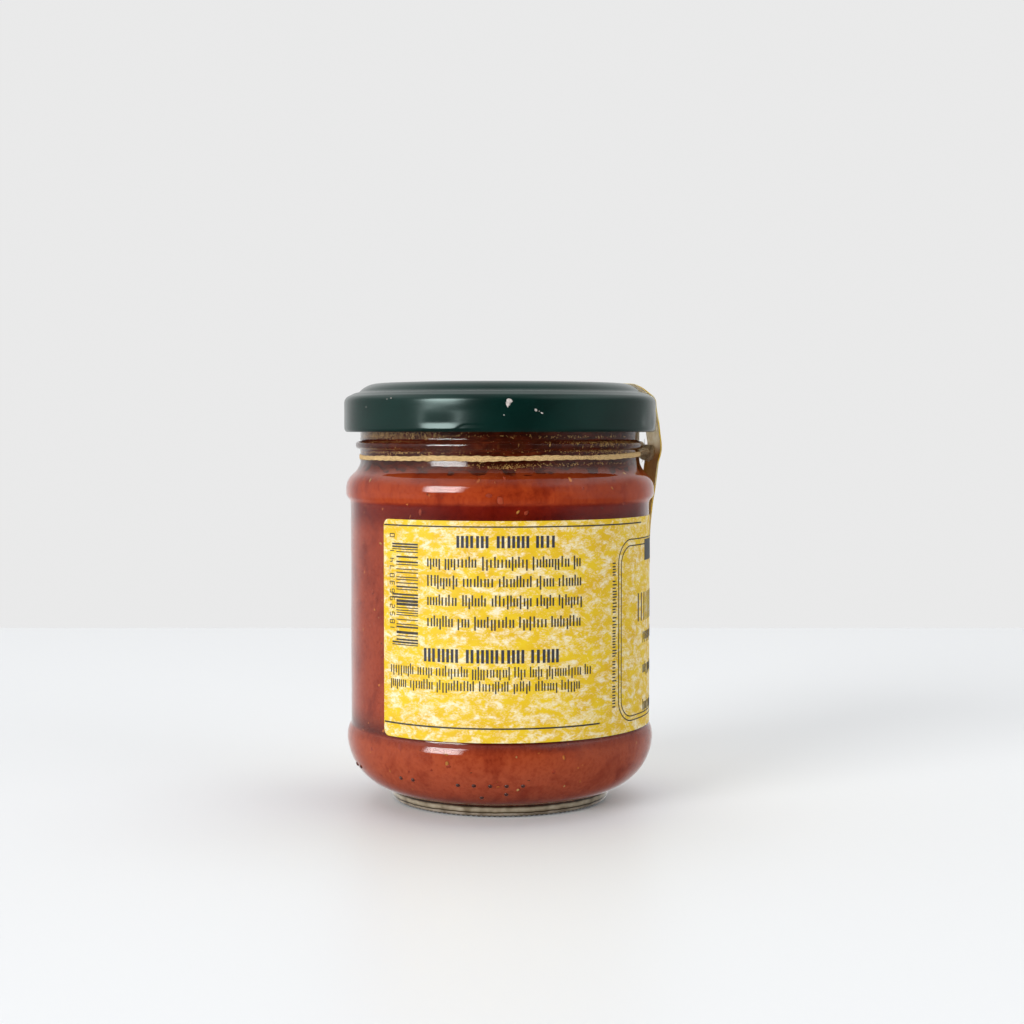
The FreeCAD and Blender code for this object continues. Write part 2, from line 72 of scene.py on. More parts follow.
MM = 0.001
BODY = "root"
FULL_TURN = 2 * math.pi
LOG = logging.getLogger("jar")


# ---------------------------------------------------------------- colours and nodes
def linear(code: str) -> tuple[float, ...]:
    """Turns an sRGB hex colour such as "#a04030" into linear light.

    Args:
        code: The colour as a hash and six hex digits.

    Returns:
        Red, green, blue and an alpha of 1, in linear light.
    """
    values = np.array([int(code[i:i + 2], 16) for i in (1, 3, 5)]) / 255
    light = np.where(values <= 0.04045, values / 12.92, ((values + 0.055) / 1.055) ** 2.4)
    return (*light.tolist(), 1.0)


def put(
    tree: Tree,
    kind: str,
    inputs: dict | tuple = (),
    out: int | str = 0,
    stops: Levels = (),
    **settings: object,
) -> Socket | None:
    """Adds a node with its settings, and fills or links its sockets.

    Args:
        tree: The node tree that gets the node.
        kind: The node's type name, after its "ShaderNode".
        inputs: Values or other nodes' outputs, in socket order or by name or number.
        out: Which output is handed back.
        stops: On a colour ramp, places from 0 to 1 with their hex colours.
        settings: The node's own fields.

    Returns:
        The chosen output, or None from a node that has none.
    """
    node = tree.nodes.new("ShaderNode" + kind)
    for name, value in settings.items():
        setattr(node, name, value)
    for name, value in inputs.items() if isinstance(inputs, dict) else enumerate(inputs):
        if isinstance(value, Socket):
            tree.links.new(value, node.inputs[name])
        else:
            node.inputs[name].default_value = value
    if stops:
        elements = node.color_ramp.elements
        while len(elements) < len(stops):
            elements.new(0.5)
        for element, (place, code) in zip(elements, stops):
            element.position = place
            element.color = linear(code)
    return node.outputs[out] if len(node.outputs) else None


class Blend(Enum):
    """How a Mix node lays the colour in socket 7 over the one in socket 6."""

    MIX = {"out": 2, "data_type": "RGBA", "blend_type": "MIX"}
    MULTIPLY = {"out": 2, "data_type": "RGBA", "blend_type": "MULTIPLY"}
    SCREEN = {"out": 2, "data_type": "RGBA", "blend_type": "SCREEN"}


def noise(
    tree: Tree,
    pitch: float,
    detail: float = 3.0,
    rough: float = 0.5,
    stretch: Triple = (1.0, 1.0, 1.0),
    warp: float = 0.0,
    shift: float = 0.0,
) -> Socket:
    """Cloudy noise on the piece, with its coarsest lumps a pitch apart.

    Args:
        tree: The node tree that gets the noise.
        pitch: Distance between the coarsest lumps, in millimetres.
        detail: How many finer octaves are added.
        rough: How strong each finer octave is beside the one before.
        stretch: Scale along X, Y and Z.  Above 1 squeezes the pattern.
        warp: How much the pattern is bent by itself.
        shift: Moves the pattern, so that two noises differ.

    Returns:
        The noise value, about 0.5 on average.
    """
    place = put(tree, "TexCoord", out="Object")
    moved = {"Vector": place, "Location": (shift, shift, shift), "Scale": stretch}
    shape = {"Scale": 1 / (pitch * MM), "Detail": detail, "Roughness": rough, "Distortion": warp}
    return put(tree, "TexNoise", {"Vector": put(tree, "Mapping", moved), **shape}, "Fac")


def banded(tree: Tree, levels: Levels, lift: Socket | None = None) -> Socket:
    """Colours by height, each blending into the next.

    Args:
        tree: The node tree that gets the bands.
        levels: Heights in millimetres from low to high, with their colours.
        lift: What is added to the height, in metres, if anything is.

    Returns:
        The colour.
    """
    low, high = levels[0][0], levels[-1][0]
    height = put(tree, "SeparateXYZ", (put(tree, "TexCoord", out="Object"),), "Z")
    if lift is not None:
        height = put(tree, "Math", (height, lift), operation="ADD")
    place = put(tree, "MapRange", (height, low * MM, high * MM))
    stops = [((level - low) / (high - low), code) for level, code in levels]
    return put(tree, "ValToRGB", (place,), stops=stops)


# ---------------------------------------------------------------- finishes
@dataclass(frozen=True)
class Finish:
    """A material: its name, its record slot and what dresses its node tree."""

    name: str
    slot: str

    def material(self) -> bpy.types.Material:
        """Finds the finish's material, or makes it the first time.

        Returns:
            The shared material.
        """
        made = bpy.data.materials.get(self.name)
        if made is None:
            made = bpy.data.materials.new(self.name)
            made.use_nodes = True
            made.node_tree.nodes.clear()
            put(made.node_tree, "OutputMaterial", {"Surface": self.surface(made.node_tree)})
        return made

    def surface(self, tree: Tree) -> Socket:
        """The shader that covers the piece."""
        raise NotImplementedError


@dataclass(frozen=True)
class PressedGlass(Finish):
    """Soda-lime glass, blown and pressed in a mould: clear, faintly green, glossy."""

    tint: str = "#f4faf6"
    through: str = "#f0f5f2"

    def surface(self, tree: Tree) -> Socket:
        """Glass to the eye, and clear to light on its way to the food behind it.

        Args:
            tree: The finish's node tree.

        Returns:
            The shader.
        """
        body = {"Base Color": linear(self.tint), "Transmission Weight": 1.0}
        glass = put(tree, "BsdfPrincipled", {**body, "Roughness": 0.06, "IOR": 1.5})
        clear = put(tree, "BsdfTransparent", (linear(self.through),))
        path = put(tree, "LightPath").node.outputs
        rays = (path["Is Shadow Ray"], path["Is Diffuse Ray"])
        lamps = put(tree, "Math", rays, operation="MAXIMUM")
        return put(tree, "MixShader", (lamps, glass, clear))


@dataclass(frozen=True)
class ChoppedTomato(Finish):
    """Cooked chopped tomato pressed against glass: mottled brick red, soft and wet."""

    # Colours by height: the darker bands just under the label (15.8 to 17.4) and just over it
    # (64.0 to 66.6) are painted shade at the label's edges; the lighter red low in the heel (2.0
    # to 10.0) is painted light on the heel's underside.
    levels: Levels = (
        (2.0, "#b04a30"),
        (6.0, "#b04a30"),
        (10.0, "#ac4c32"),
        (14.5, "#a84526"),
        (15.8, "#87301c"),
        (17.4, "#602016"),
        (22.0, "#9e3e26"),
        (60.0, "#983a24"),
        (64.0, "#6c1306"),
        (66.6, "#761607"),
        (68.0, "#a83c18"),
        (69.8, "#a43a16"),
        (71.6, "#86300f"),
        (73.0, "#70280d"),
        (74.2, "#5c220c"),
    )

    def surface(self, tree: Tree) -> Socket:
        """Colour by height, with painted shade and painted light in its bands, soft lumps, pulp
        grain and orange patches.

        Args:
            tree: The finish's node tree.

        Returns:
            The shader.
        """
        lumps = noise(tree, 6.0, 4.0, 0.55, warp=0.5)
        pulp = noise(tree, 0.8, 3.0, 0.6, shift=0.2)
        dark = put(tree, "ValToRGB", (lumps,), stops=((0.3, "#d6b8b0"), (0.5, "#ffffff")))
        warm = put(tree, "ValToRGB", (lumps,), stops=((0.5, "#000000"), (0.76, "#505050")))
        grain = put(tree, "ValToRGB", (pulp,), stops=((0.3, "#e6d6d0"), (0.55, "#ffffff")))
        base = banded(tree, self.levels)
        colour = put(tree, "Mix", {0: 1.0, 6: base, 7: dark}, **Blend.MULTIPLY.value)
        orange = linear("#bf5a24")
        colour = put(tree, "Mix", {0: warm, 6: colour, 7: orange}, **Blend.MIX.value)
        colour = put(tree, "Mix", {0: 1.0, 6: colour, 7: grain}, **Blend.MULTIPLY.value)
        relief = put(tree, "Bump", {"Height": pulp, "Distance": 0.04 * MM})
        skin = {"Base Color": colour, "Roughness": 0.6, "Specular IOR Level": 0.04}
        return put(tree, "BsdfPrincipled", {**skin, "Normal": relief})


@dataclass(frozen=True)
class HerbOil(Finish):
    """Dark oil with fine herb sediment: red brown, nearly opaque, clouded with gold."""

    clouds: Levels = ((0.3, "#2c0b03"), (0.5, "#421003"), (0.62, "#561b07"), (0.75, "#662a10"))

    def surface(self, tree: Tree) -> Socket:
        """Brown clouds with gold dust where sediment clings.

        Args:
            tree: The finish's node tree.

        Returns:
            The shader.
        """
        clouds = noise(tree, 3.2, 4.0, 0.6, (1.0, 1.0, 2.6), 0.8)
        dust = noise(tree, 0.55, 3.0, 0.7, shift=0.4)
        base = put(tree, "ValToRGB", (clouds,), stops=self.clouds)
        glow = put(tree, "ValToRGB", (dust,), stops=((0.55, "#000000"), (0.72, "#7a7a7a")))
        gold = linear("#8a5a2c")
        colour = put(tree, "Mix", {0: glow, 6: base, 7: gold}, **Blend.MIX.value)
        body = {"Base Color": colour, "Roughness": 0.35, "Specular IOR Level": 0.05}
        return put(tree, "BsdfPrincipled", body)


@dataclass(frozen=True)
class FoodGrain(Finish):
    """A loose bit of food against the glass: one colour with soft paler parts."""

    dark: str
    pale: str

    def surface(self, tree: Tree) -> Socket:
        """Two tones that change within and between the bits.

        Args:
            tree: The finish's node tree.

        Returns:
            The shader.
        """
        stops = ((0.35, self.dark), (0.65, self.pale))
        tone = put(tree, "ValToRGB", (noise(tree, 1.1, 2.0),), stops=stops)
        body = {"Base Color": tone, "Roughness": 0.5, "Specular IOR Level": 0.15}
        return put(tree, "BsdfPrincipled", body)


@dataclass(frozen=True)
class GreenLacquer(Finish):
    """Stoved lacquer on tinplate: deep green, glossy, with a faint orange peel."""

    def surface(self, tree: Tree) -> Socket:
        """Nearly even colour; the peel breaks up the edges of reflections.

        Args:
            tree: The finish's node tree.

        Returns:
            The shader.
        """
        stops = ((0.3, "#031915"), (0.7, "#04221d"))
        tone = put(tree, "ValToRGB", (noise(tree, 9.0, 2.0),), stops=stops)
        peel = put(tree, "Bump", {"Height": noise(tree, 0.8, 2.0), "Distance": 0.004 * MM})
        coat = {"Base Color": tone, "Roughness": 0.23, "IOR": 1.5, "Normal": peel}
        return put(tree, "BsdfPrincipled", {**coat, "Specular Tint": linear("#e6fffa")})


@dataclass(frozen=True)
class MottledPaper(Finish):
    """Coated label paper with a sponged print: yellow dabs that leave cream bare."""

    cream: str = "#e8dcbc"
    yellow: str = "#dfbd20"
    deep: str = "#d6ab1a"

    def surface(self, tree: Tree) -> Socket:
        """Dabs about 3 mm wide, ragged by finer noise and drawn out sideways.

        Args:
            tree: The finish's node tree.

        Returns:
            The shader.
        """
        dabs = noise(tree, 2.6, 5.0, 0.68, (1.0, 1.0, 1.7), 0.4)
        ragged = noise(tree, 0.55, 3.0, 0.7, (1.0, 1.0, 1.8), shift=0.3)
        patches = noise(tree, 6.0, 3.0, 0.6, (1.0, 1.0, 1.3), 0.3, 0.7)
        both = put(tree, "Math", (ragged, 0.45, dabs), operation="MULTIPLY_ADD")
        ink = put(tree, "ValToRGB", (both,), stops=((0.56, "#202020"), (0.76, "#ffffff")))
        tone = put(tree, "ValToRGB", (patches,), stops=((0.35, self.yellow), (0.7, self.deep)))
        bare = linear(self.cream)
        colour = put(tree, "Mix", {0: ink, 6: bare, 7: tone}, **Blend.MIX.value)
        tooth = put(tree, "Bump", {"Height": noise(tree, 0.25, 2.0), "Distance": 0.004 * MM})
        sheet = {"Base Color": colour, "Roughness": 0.55, "Specular IOR Level": 0.25}
        return put(tree, "BsdfPrincipled", {**sheet, "Normal": tooth})


@dataclass(frozen=True)
class SealPaper(Finish):
    """Thin seal paper: printed yellow and cream outside, bare inside with painted shade below the
    knot.
    """

    # Painted shade on the bare side: brownish and darkest just under the knot, gone above it.
    knot_shade: Levels = ((66.0, "#e2cfac"), (71.95, "#c4a678"), (76.54, "#bc9c6c"), (79.6, "#ffffff"))

    def surface(self, tree: Tree) -> Socket:
        """The side that faces the jar is bare, with painted shade under the knot; the other
        carries the print.

        Outside is where (x, y, 12 mm) points along the normal.

        Args:
            tree: The finish's node tree.

        Returns:
            The shader.
        """
        place = put(tree, "TexCoord", out="Object")
        flat = put(tree, "VectorMath", (place, (1.0, 1.0, 0.0)), operation="MULTIPLY")
        raised = put(tree, "VectorMath", (flat, (0.0, 0.0, 12 * MM)), operation="ADD")
        normal = put(tree, "NewGeometry", out="Normal")
        side = put(tree, "VectorMath", (raised, normal), "Value", operation="DOT_PRODUCT")
        outside = put(tree, "Math", (side, 0.0), operation="GREATER_THAN")
        dabs = noise(tree, 2.6, 4.0, 0.65, (1.0, 1.0, 0.6))
        printed = put(tree, "ValToRGB", (dabs,), stops=((0.44, "#fbeeb4"), (0.52, "#f7d550")))
        fibres = ((0.3, "#e2d8c4"), (0.7, "#f6f1e6"))
        bare = put(tree, "ValToRGB", (noise(tree, 1.4, 3.0),), stops=fibres)
        knot_shaded = banded(tree, self.knot_shade)
        bare = put(tree, "Mix", {0: 1.0, 6: bare, 7: knot_shaded}, **Blend.MULTIPLY.value)
        colour = put(tree, "Mix", {0: outside, 6: bare, 7: printed}, **Blend.MIX.value)
        body = {"Base Color": colour, "Roughness": 0.6, "Specular IOR Level": 0.3}
        sheet = put(tree, "BsdfPrincipled", body)
        return put(tree, "MixShader", (0.6, sheet, put(tree, "BsdfTranslucent", (colour,))))


@dataclass(frozen=True)
class PlantFibre(Finish):
    """Raffia-like plant fibre, twisted and tied: dry, matt, tan with brown threads."""

    dark: str
    pale: str

    def surface(self, tree: Tree) -> Socket:
        """Fine threads, drawn about twice as coarse as the real 0.05 mm to show.

        Args:
            tree: The finish's node tree.

        Returns:
            The shader.
        """
        threads = noise(tree, 0.5, 4.0, 0.7, (1.0, 1.0, 4.0))
        tone = put(tree, "ValToRGB", (threads,), stops=((0.32, self.dark), (0.62, self.pale)))
        relief = put(tree, "Bump", {"Height": threads, "Distance": 0.06 * MM})
        body = {"Base Color": tone, "Roughness": 0.85, "Specular IOR Level": 0.2}
        return put(tree, "BsdfPrincipled", {**body, "Normal": relief})


@dataclass(frozen=True)
class PrintingInk(Finish):
    """Offset ink on coated paper: dark, thin and slightly uneven."""

    colour: str

    def surface(self, tree: Tree) -> Socket:
        """One colour, a little paler where the ink lies thin.

        Args:
            tree: The finish's node tree.

        Returns:
            The shader.
        """
        stops = ((0.35, "#ffffff"), (0.7, "#c8c0b0"))
        thin = put(tree, "ValToRGB", (noise(tree, 0.9, 2.0),), stops=stops)
        ink = linear(self.colour)
        tone = put(tree, "Mix", {0: 0.04, 6: ink, 7: thin}, **Blend.SCREEN.value)
        body = {"Base Color": tone, "Roughness": 0.55, "Specular IOR Level": 0.3}
        return put(tree, "BsdfPrincipled", body)


@dataclass(frozen=True)
class BareSpot(Finish):
    """Where lacquer has flaked off: pale primer with grey metal showing through."""

    def surface(self, tree: Tree) -> Socket:
        """Pinkish white primer, greyer in the middle of a larger flake.

        Args:
            tree: The finish's node tree.

        Returns:
            The shader.
        """
        stops = ((0.35, "#8d8480"), (0.6, "#c4b9b4"))
        tone = put(tree, "ValToRGB", (noise(tree, 0.8, 3.0),), stops=stops)
        return put(tree, "BsdfPrincipled", {"Base Color": tone, "Roughness": 0.6})


@dataclass(frozen=True)
class MouldedPip(Finish):
    """A raised glass pip, drawn as painted shade: opaque dark brown where the real pip bends the
    light away.
    """

    def surface(self, tree: Tree) -> Socket:
        """Painted shade: dark glossy brown, as the shaded food looks through a tiny lens.

        Args:
            tree: The finish's node tree.

        Returns:
            The shader.
        """
        stops = ((0.35, "#3a1f18"), (0.7, "#57302a"))
        tone = put(tree, "ValToRGB", (noise(tree, 0.6, 2.0),), stops=stops)
        return put(tree, "BsdfPrincipled", {"Base Color": tone, "Roughness": 0.3, "IOR": 1.5})


@dataclass(frozen=True)
class FootGlass(Finish):
    """Thick pressed glass of the standing ring, drawn opaque with the pale room's light painted on
    as bands.
    """

    # Painted reflection and refraction: pale bands of room light, with dark lines of painted shade
    # at the bottom, at the groove and at the top.
    levels: Levels = (
        (0.0, "#2c241a"),
        (0.3, "#40362a"),
        (0.45, "#998e80"),
        (0.92, "#a79c8c"),
        (1.02, "#453a2c"),
        (1.2, "#3c3024"),
        (1.34, "#958a76"),
        (1.75, "#aba18f"),
        (2.12, "#8f8370"),
        (2.26, "#3c2c20"),
        (2.6, "#32170f"),
    )
    # Blotches that break up the painted reflection bands.
    reflection_blots: Levels = ((0.32, "#b8b0a4"), (0.5, "#e8e4de"), (0.66, "#ffffff"))

    def surface(self, tree: Tree) -> Socket:
        """Painted reflection in level bands, painted shade where the glass bends sight under the
        jar, and blotchy.

        Args:
            tree: The finish's node tree.

        Returns:
            The shader.
        """
        waves = noise(tree, 2.2, 1.0, stretch=(1.0, 1.0, 0.2))
        lift = put(tree, "Math", (waves, 0.3 * MM, -0.15 * MM), operation="MULTIPLY_ADD")
        bands = banded(tree, self.levels, lift)
        reflection_blots = put(tree, "ValToRGB", (noise(tree, 3.0, 3.0),), stops=self.reflection_blots)
        colour = put(tree, "Mix", {0: 1.0, 6: bands, 7: reflection_blots}, **Blend.MULTIPLY.value)
        body = {"Base Color": colour, "Roughness": 0.12, "IOR": 1.5}
        return put(tree, "BsdfPrincipled", body)


@dataclass(frozen=True)
class MattTable(Finish):
    """A pale matt table top, not part of the jar."""

    colour: str

    def surface(self, tree: Tree) -> Socket:
        """Plain and even, with a little sheen at low angles."""
        top = {"Base Color": linear(self.colour), "Roughness": 0.45, "Specular IOR Level": 0.3}
        return put(tree, "BsdfPrincipled", top)


CLEAR_GLASS = PressedGlass("pressed_soda_lime_glass", "clear_glass")
FOOT_GLASS = FootGlass("pressed_foot_glass", "clear_glass")
# The pips are painted shade, opaque dark brown, not clear glass.
PIP_GLASS = MouldedPip("moulded_glass_pip", "clear_glass")
TOMATO = ChoppedTomato("chopped_cooked_tomato", "tomato_topping")
ORANGE_FLECK = FoodGrain("orange_tomato_flesh", "tomato_topping", "#a5471c", "#c4702f")
RED_LUMP = FoodGrain("red_tomato_flesh", "tomato_topping", "#90321e", "#a43f24")
GARLIC_BIT = FoodGrain("cooked_garlic", "tomato_topping", "#a87040", "#c99a62")
SEED = FoodGrain("tomato_seed", "tomato_topping", "#a8632a", "#c78a42")
HERB_BIT = FoodGrain("dried_oregano", "tomato_topping", "#31200f", "#4d3417")
OIL = HerbOil("herb_oil_with_sediment", "herb_oil")
GOLD_DUST = FoodGrain("oily_herb_sediment", "herb_oil", "#7a4a22", "#b98a4e")
LACQUER = GreenLacquer("stoved_green_lacquer", "green_lacquer")
FLAKED = BareSpot("primer_under_flaked_lacquer", "green_lacquer")
LABEL_PAPER = MottledPaper("sponge_printed_label_paper", "label_paper")
BROWN_INK = PrintingInk("brown_offset_ink", "label_paper", "#241d16")
NAVY_INK = PrintingInk("navy_offset_ink", "label_paper", "#15182c")
SLATE_INK = PrintingInk("slate_offset_ink", "label_paper", "#26313a")
SEAL = SealPaper("printed_seal_paper", "seal_paper")
FIBRE = PlantFibre("twisted_plant_fibre", "plant_fibre", "#86643c", "#d6b682")
# Painted light: the knot and its wisps are drawn paler than the strand, making up for the seal's
# shade over them.
LIT_KNOT_FIBRE = PlantFibre("knot_fibre_painted_lighter", "plant_fibre", "#b29468", "#f2e2c4")
TABLE_TOP = MattTable("pale_matt_table", "", "#e5e7e9")


# ---------------------------------------------------------------- meshes
def piece(
    name: str, points: Array, faces: list[Array], finish: Finish, smooth: bool = True
) -> bpy.types.Object:
    """Makes a mesh object, dresses it and lets it ride on the jar.

    Args:
        name: The object's name.
        points: Corners in millimetres, one a row.
        faces: Arrays of corner numbers, one face a row.
        finish: The finish that covers it.
        smooth: Whether its faces are shaded smooth.

    Returns:
        The new object.
    """
    mesh = bpy.data.meshes.new(name)
    rows = [row for array in faces for row in array.tolist()]
    mesh.from_pydata((points * MM).tolist(), [], rows)
    mesh.validate()
    if smooth:
        mesh.shade_smooth()
    mesh.materials.append(finish.material())
    made = bpy.data.objects.new(name, mesh)
    bpy.context.scene.collection.objects.link(made)
    if finish.slot:
        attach(made, BODY)
    LOG.info("%s: %d corners, %d faces", name, len(mesh.vertices), len(mesh.polygons))
    return made


def unit(rows: Array) -> Array:
    """Rows of vectors, each brought to length 1."""
    return rows / np.linalg.norm(rows, axis=1, keepdims=True)


def ease(share: Array) -> Array:
    """A smooth step, s s (3 - 2 s), of a share kept from 0 to 1."""
    share = np.clip(share, 0, 1)
    return share**2 * (3 - 2 * share)


def distances(path: Array) -> Array:
    """How far along a path each of its points lies."""
    return np.concatenate([[0], np.cumsum(np.linalg.norm(np.diff(path, axis=0), axis=1))])


def polar(azimuth: Array, radius: Array, height: Array) -> Array:
    """Points x = r sin a, y = -r cos a, z from azimuths in radians, radii and heights."""
    azimuth, radius, height = np.broadcast_arrays(azimuth, radius, height)
    return np.stack([radius * np.sin(azimuth), -radius * np.cos(azimuth), height], -1)


def grid_faces(rows: int, columns: int, around: bool, closed: bool = False) -> Array:
    """Quads between the points of a grid, numbered row by row.

    Args:
        rows: How many rows of points.
        columns: How many points in a row.
        around: Whether each row's last point joins its first.
        closed: Whether the last row joins the first.

    Returns:
        Corner numbers, four a row.
    """
    down = np.arange(rows if closed else rows - 1)[:, None]
    across = np.arange(columns if around else columns - 1)[None, :]
    below = (down + 1) % rows
    right = (across + 1) % columns
    quads = [down * columns + across, down * columns + right]
    quads += [below * columns + right, below * columns + across]
    return np.stack(quads, -1).reshape(-1, 4)


def fan(tip: int, base: int, sides: int, flip: bool) -> Array:
    """Triangles from a tip to a ring of corners.

    Args:
        tip: The tip's corner number.
        base: The ring's first corner number.
        sides: Corners in the ring.
        flip: Whether they face the other way.

    Returns:
        Corner numbers, three a row.
    """
    along = np.arange(sides)
    onward = (along + 1) % sides
    first, second = (onward, along) if flip else (along, onward)
    return np.stack([np.full(sides, tip), base + first, base + second], -1)


def turned(
    name: str,
    section: Array,
    columns: int,
    finish: Finish,
    shape: Callable[[Array, Array, Array], Grids] | None = None,
) -> bpy.types.Object:
    """A closed skin: a section from axis to axis, carried round the axis.

    Point (i, j) is at azimuth 2 pi j / columns, with the section's radius and height
    i, both changed by the shape function where there is one.

    Args:
        name: The object's name.
        section: Radius and height, one point a row, its ends on the axis.
        columns: Steps round the axis.
        finish: The finish that covers it.
        shape: Takes azimuth, radius and height grids; gives changed radii and heights.

    Returns:
        The new object.
    """
    azimuth = np.arange(columns)[None, :] * FULL_TURN / columns
    radius = np.repeat(section[1:-1, 0:1], columns, 1)
    height = np.repeat(section[1:-1, 1:2], columns, 1)
    if shape is not None:
        radius, height = shape(azimuth, radius, height)
    body = polar(azimuth, radius, height).reshape(-1, 3)
    ends = polar(np.zeros(2), np.zeros(2), section[[0, -1], 1])
    rows = len(section) - 2
    start = fan(len(body), 0, columns, True)
    stop = fan(len(body) + 1, (rows - 1) * columns, columns, False)
    quads = grid_faces(rows, columns, True)
    return piece(name, np.vstack([body, ends]), [quads, start, stop], finish)


def ripple(azimuth: Array, height: Array, pitch: float, radius: float, seed: int) -> Array:
    """Smooth random relief on a cylinder that meets itself after a full turn.

    It is a sum of twelve waves, each the sine of (n a + m z + phase), with n whole.

    Args:
        azimuth: Angles in radians.
        height: Heights in millimetres.
        pitch: About how far apart the lumps are, in millimetres.
        radius: The cylinder's radius, which turns the pitch to whole waves.
        seed: Picks the waves.

    Returns:
        Values mostly between -1 and 1.
    """
    draw = np.random.default_rng(seed)
    total = np.zeros(np.broadcast(azimuth, height).shape)
    for _ in range(12):
        heading = draw.uniform(0, FULL_TURN)
        waves = FULL_TURN / (pitch * draw.uniform(0.7, 1.6))
        whole = round(waves * math.cos(heading) * radius)
        rise = waves * math.sin(heading)
        total = total + np.sin(whole * azimuth + rise * height + draw.uniform(0, 6.28))
    return total / 3.5


def arc(centre: Pair, size: float, start: float, stop: float, count: int) -> Array:
    """Points centre + size (cos t, sin t), from start to stop in degrees, without the first."""
    turn = np.radians(np.linspace(start, stop, count + 1)[1:])
    return np.stack([centre[0] + size * np.cos(turn), centre[1] + size * np.sin(turn)], -1)


def line(start: Pair, end: Pair, count: int) -> Array:
    """Evenly spaced points, a count of them, from start to end without the first."""
    share = np.linspace(0, 1, count + 1)[1:, None]
    return np.array(start) * (1 - share) + np.array(end) * share


def ogee(start: Pair, end: Pair, count: int) -> Array:
    """Two equal arcs between two points, which leave and arrive upright.

    Args:
        start: Radius and height.
        end: Radius and height.
        count: How many points, half on each arc.

    Returns:
        Radius and height, one point a row, without the first.
    """
    across, along = (end[0] - start[0]) / 2, (end[1] - start[1]) / 2
    size = (across**2 + along**2) / (2 * across)
    share = np.linspace(0, 1, count // 2 + 1)[1:] * math.atan2(across, along) * 2
    out = np.stack([size - size * np.cos(share), size * np.sin(share)], -1)
    return np.vstack([np.array(start) + out, (np.array(end) - out[::-1])[1:], [end]])


def smooth_path(corners: Array, count: int) -> Array:
    """A smooth line through given points, evenly spaced.

    Between two points it is a cubic whose slope at each is the chord between that
    point's neighbours, over the distance run.

    Args:
        corners: The points, one a row.
        count: How many points the line gets.

    Returns:
        The line's points.
    """
    run = np.linalg.norm(np.diff(corners, axis=0), axis=1)
    along = np.concatenate([[0], np.cumsum(run)])
    slope = np.gradient(corners, along, axis=0)
    place = np.linspace(0, along[-1], count)
    index = np.clip(np.searchsorted(along, place, side="right") - 1, 0, len(run) - 1)
    span = run[index][:, None]
    share = (place[:, None] - along[index][:, None]) / span
    start, end = corners[index], corners[index + 1]
    leave, arrive = slope[index] * span, slope[index + 1] * span
    return (
        start * (2 * share**3 - 3 * share**2 + 1)
        + leave * (share**3 - 2 * share**2 + share)
        + end * (3 * share**2 - 2 * share**3)
        + arrive * (share**3 - share**2)
    )


def pebble(rings: int = 3, sides: int = 7) -> tuple[Array, list[Array]]:
    """A unit ball of few faces: (sin p cos t, sin p sin t, cos p).

    Args:
        rings: Rows of corners between the poles.
        sides: Corners in a row.

    Returns:
        The corners and the faces.
    """
    down = np.linspace(0, math.pi, rings + 2)[1:-1, None]
    turn = np.arange(sides)[None, :] * FULL_TURN / sides
    ring = [np.sin(down) * np.cos(turn), np.sin(down) * np.sin(turn), np.cos(down) + 0 * turn]
    body = np.stack(ring, -1).reshape(-1, 3)
    faces = [grid_faces(rings, sides, True)[:, ::-1], fan(len(body), 0, sides, False)]
    faces.append(fan(len(body) + 1, (rings - 1) * sides, sides, True))
    return np.vstack([body, [[0, 0, 1], [0, 0, -1]]]), faces


def scatter(
    name: str,
    centres: Array,
    outward: Array,
    sizes: Array,
    finish: Finish,
    seed: int,
    uneven: float = 0.25,
    upright: bool = False,
) -> bpy.types.Object:
    """Small lumps set on a surface, all in one mesh.

    Each lump is a unit ball, made uneven, stretched by its three half sizes and
    turned at random about the surface's normal.

    Args:
        name: The object's name.
        centres: Where the lumps sit, one a row.
        outward: The surface's unit normals there.
        sizes: Half sizes along, across and out of the surface, one lump a row.
        finish: The finish that covers them.
        seed: Picks the turns and the unevenness.
        uneven: How much a lump's corners move in or out.
        upright: Whether the long way stays level instead of turning.

    Returns:
        The new object.
    """
    draw = np.random.default_rng(seed)
    corners, faces = pebble()
    count, each = len(centres), len(corners)
    level = unit(np.cross([0.0, 0.0, 1.0], outward))
    up = np.cross(outward, level)
    spin = draw.uniform(-0.35, 0.35, count) if upright else draw.uniform(0, 6.28, count)
    first = level * np.cos(spin)[:, None] + up * np.sin(spin)[:, None]
    axes = np.stack([first, np.cross(outward, first), outward], 1)
    scale = 1 + uneven * draw.uniform(-1, 1, (count, each, 1))
    local = corners[None] * scale * sizes[:, None, :]
    points = centres[:, None, :] + np.einsum("nki,nij->nkj", local, axes)
    offset = (np.arange(count) * each)[:, None, None]
    stacked = [(array[None] + offset).reshape(-1, array.shape[1]) for array in faces]
    return piece(name, points.reshape(-1, 3), stacked, finish)


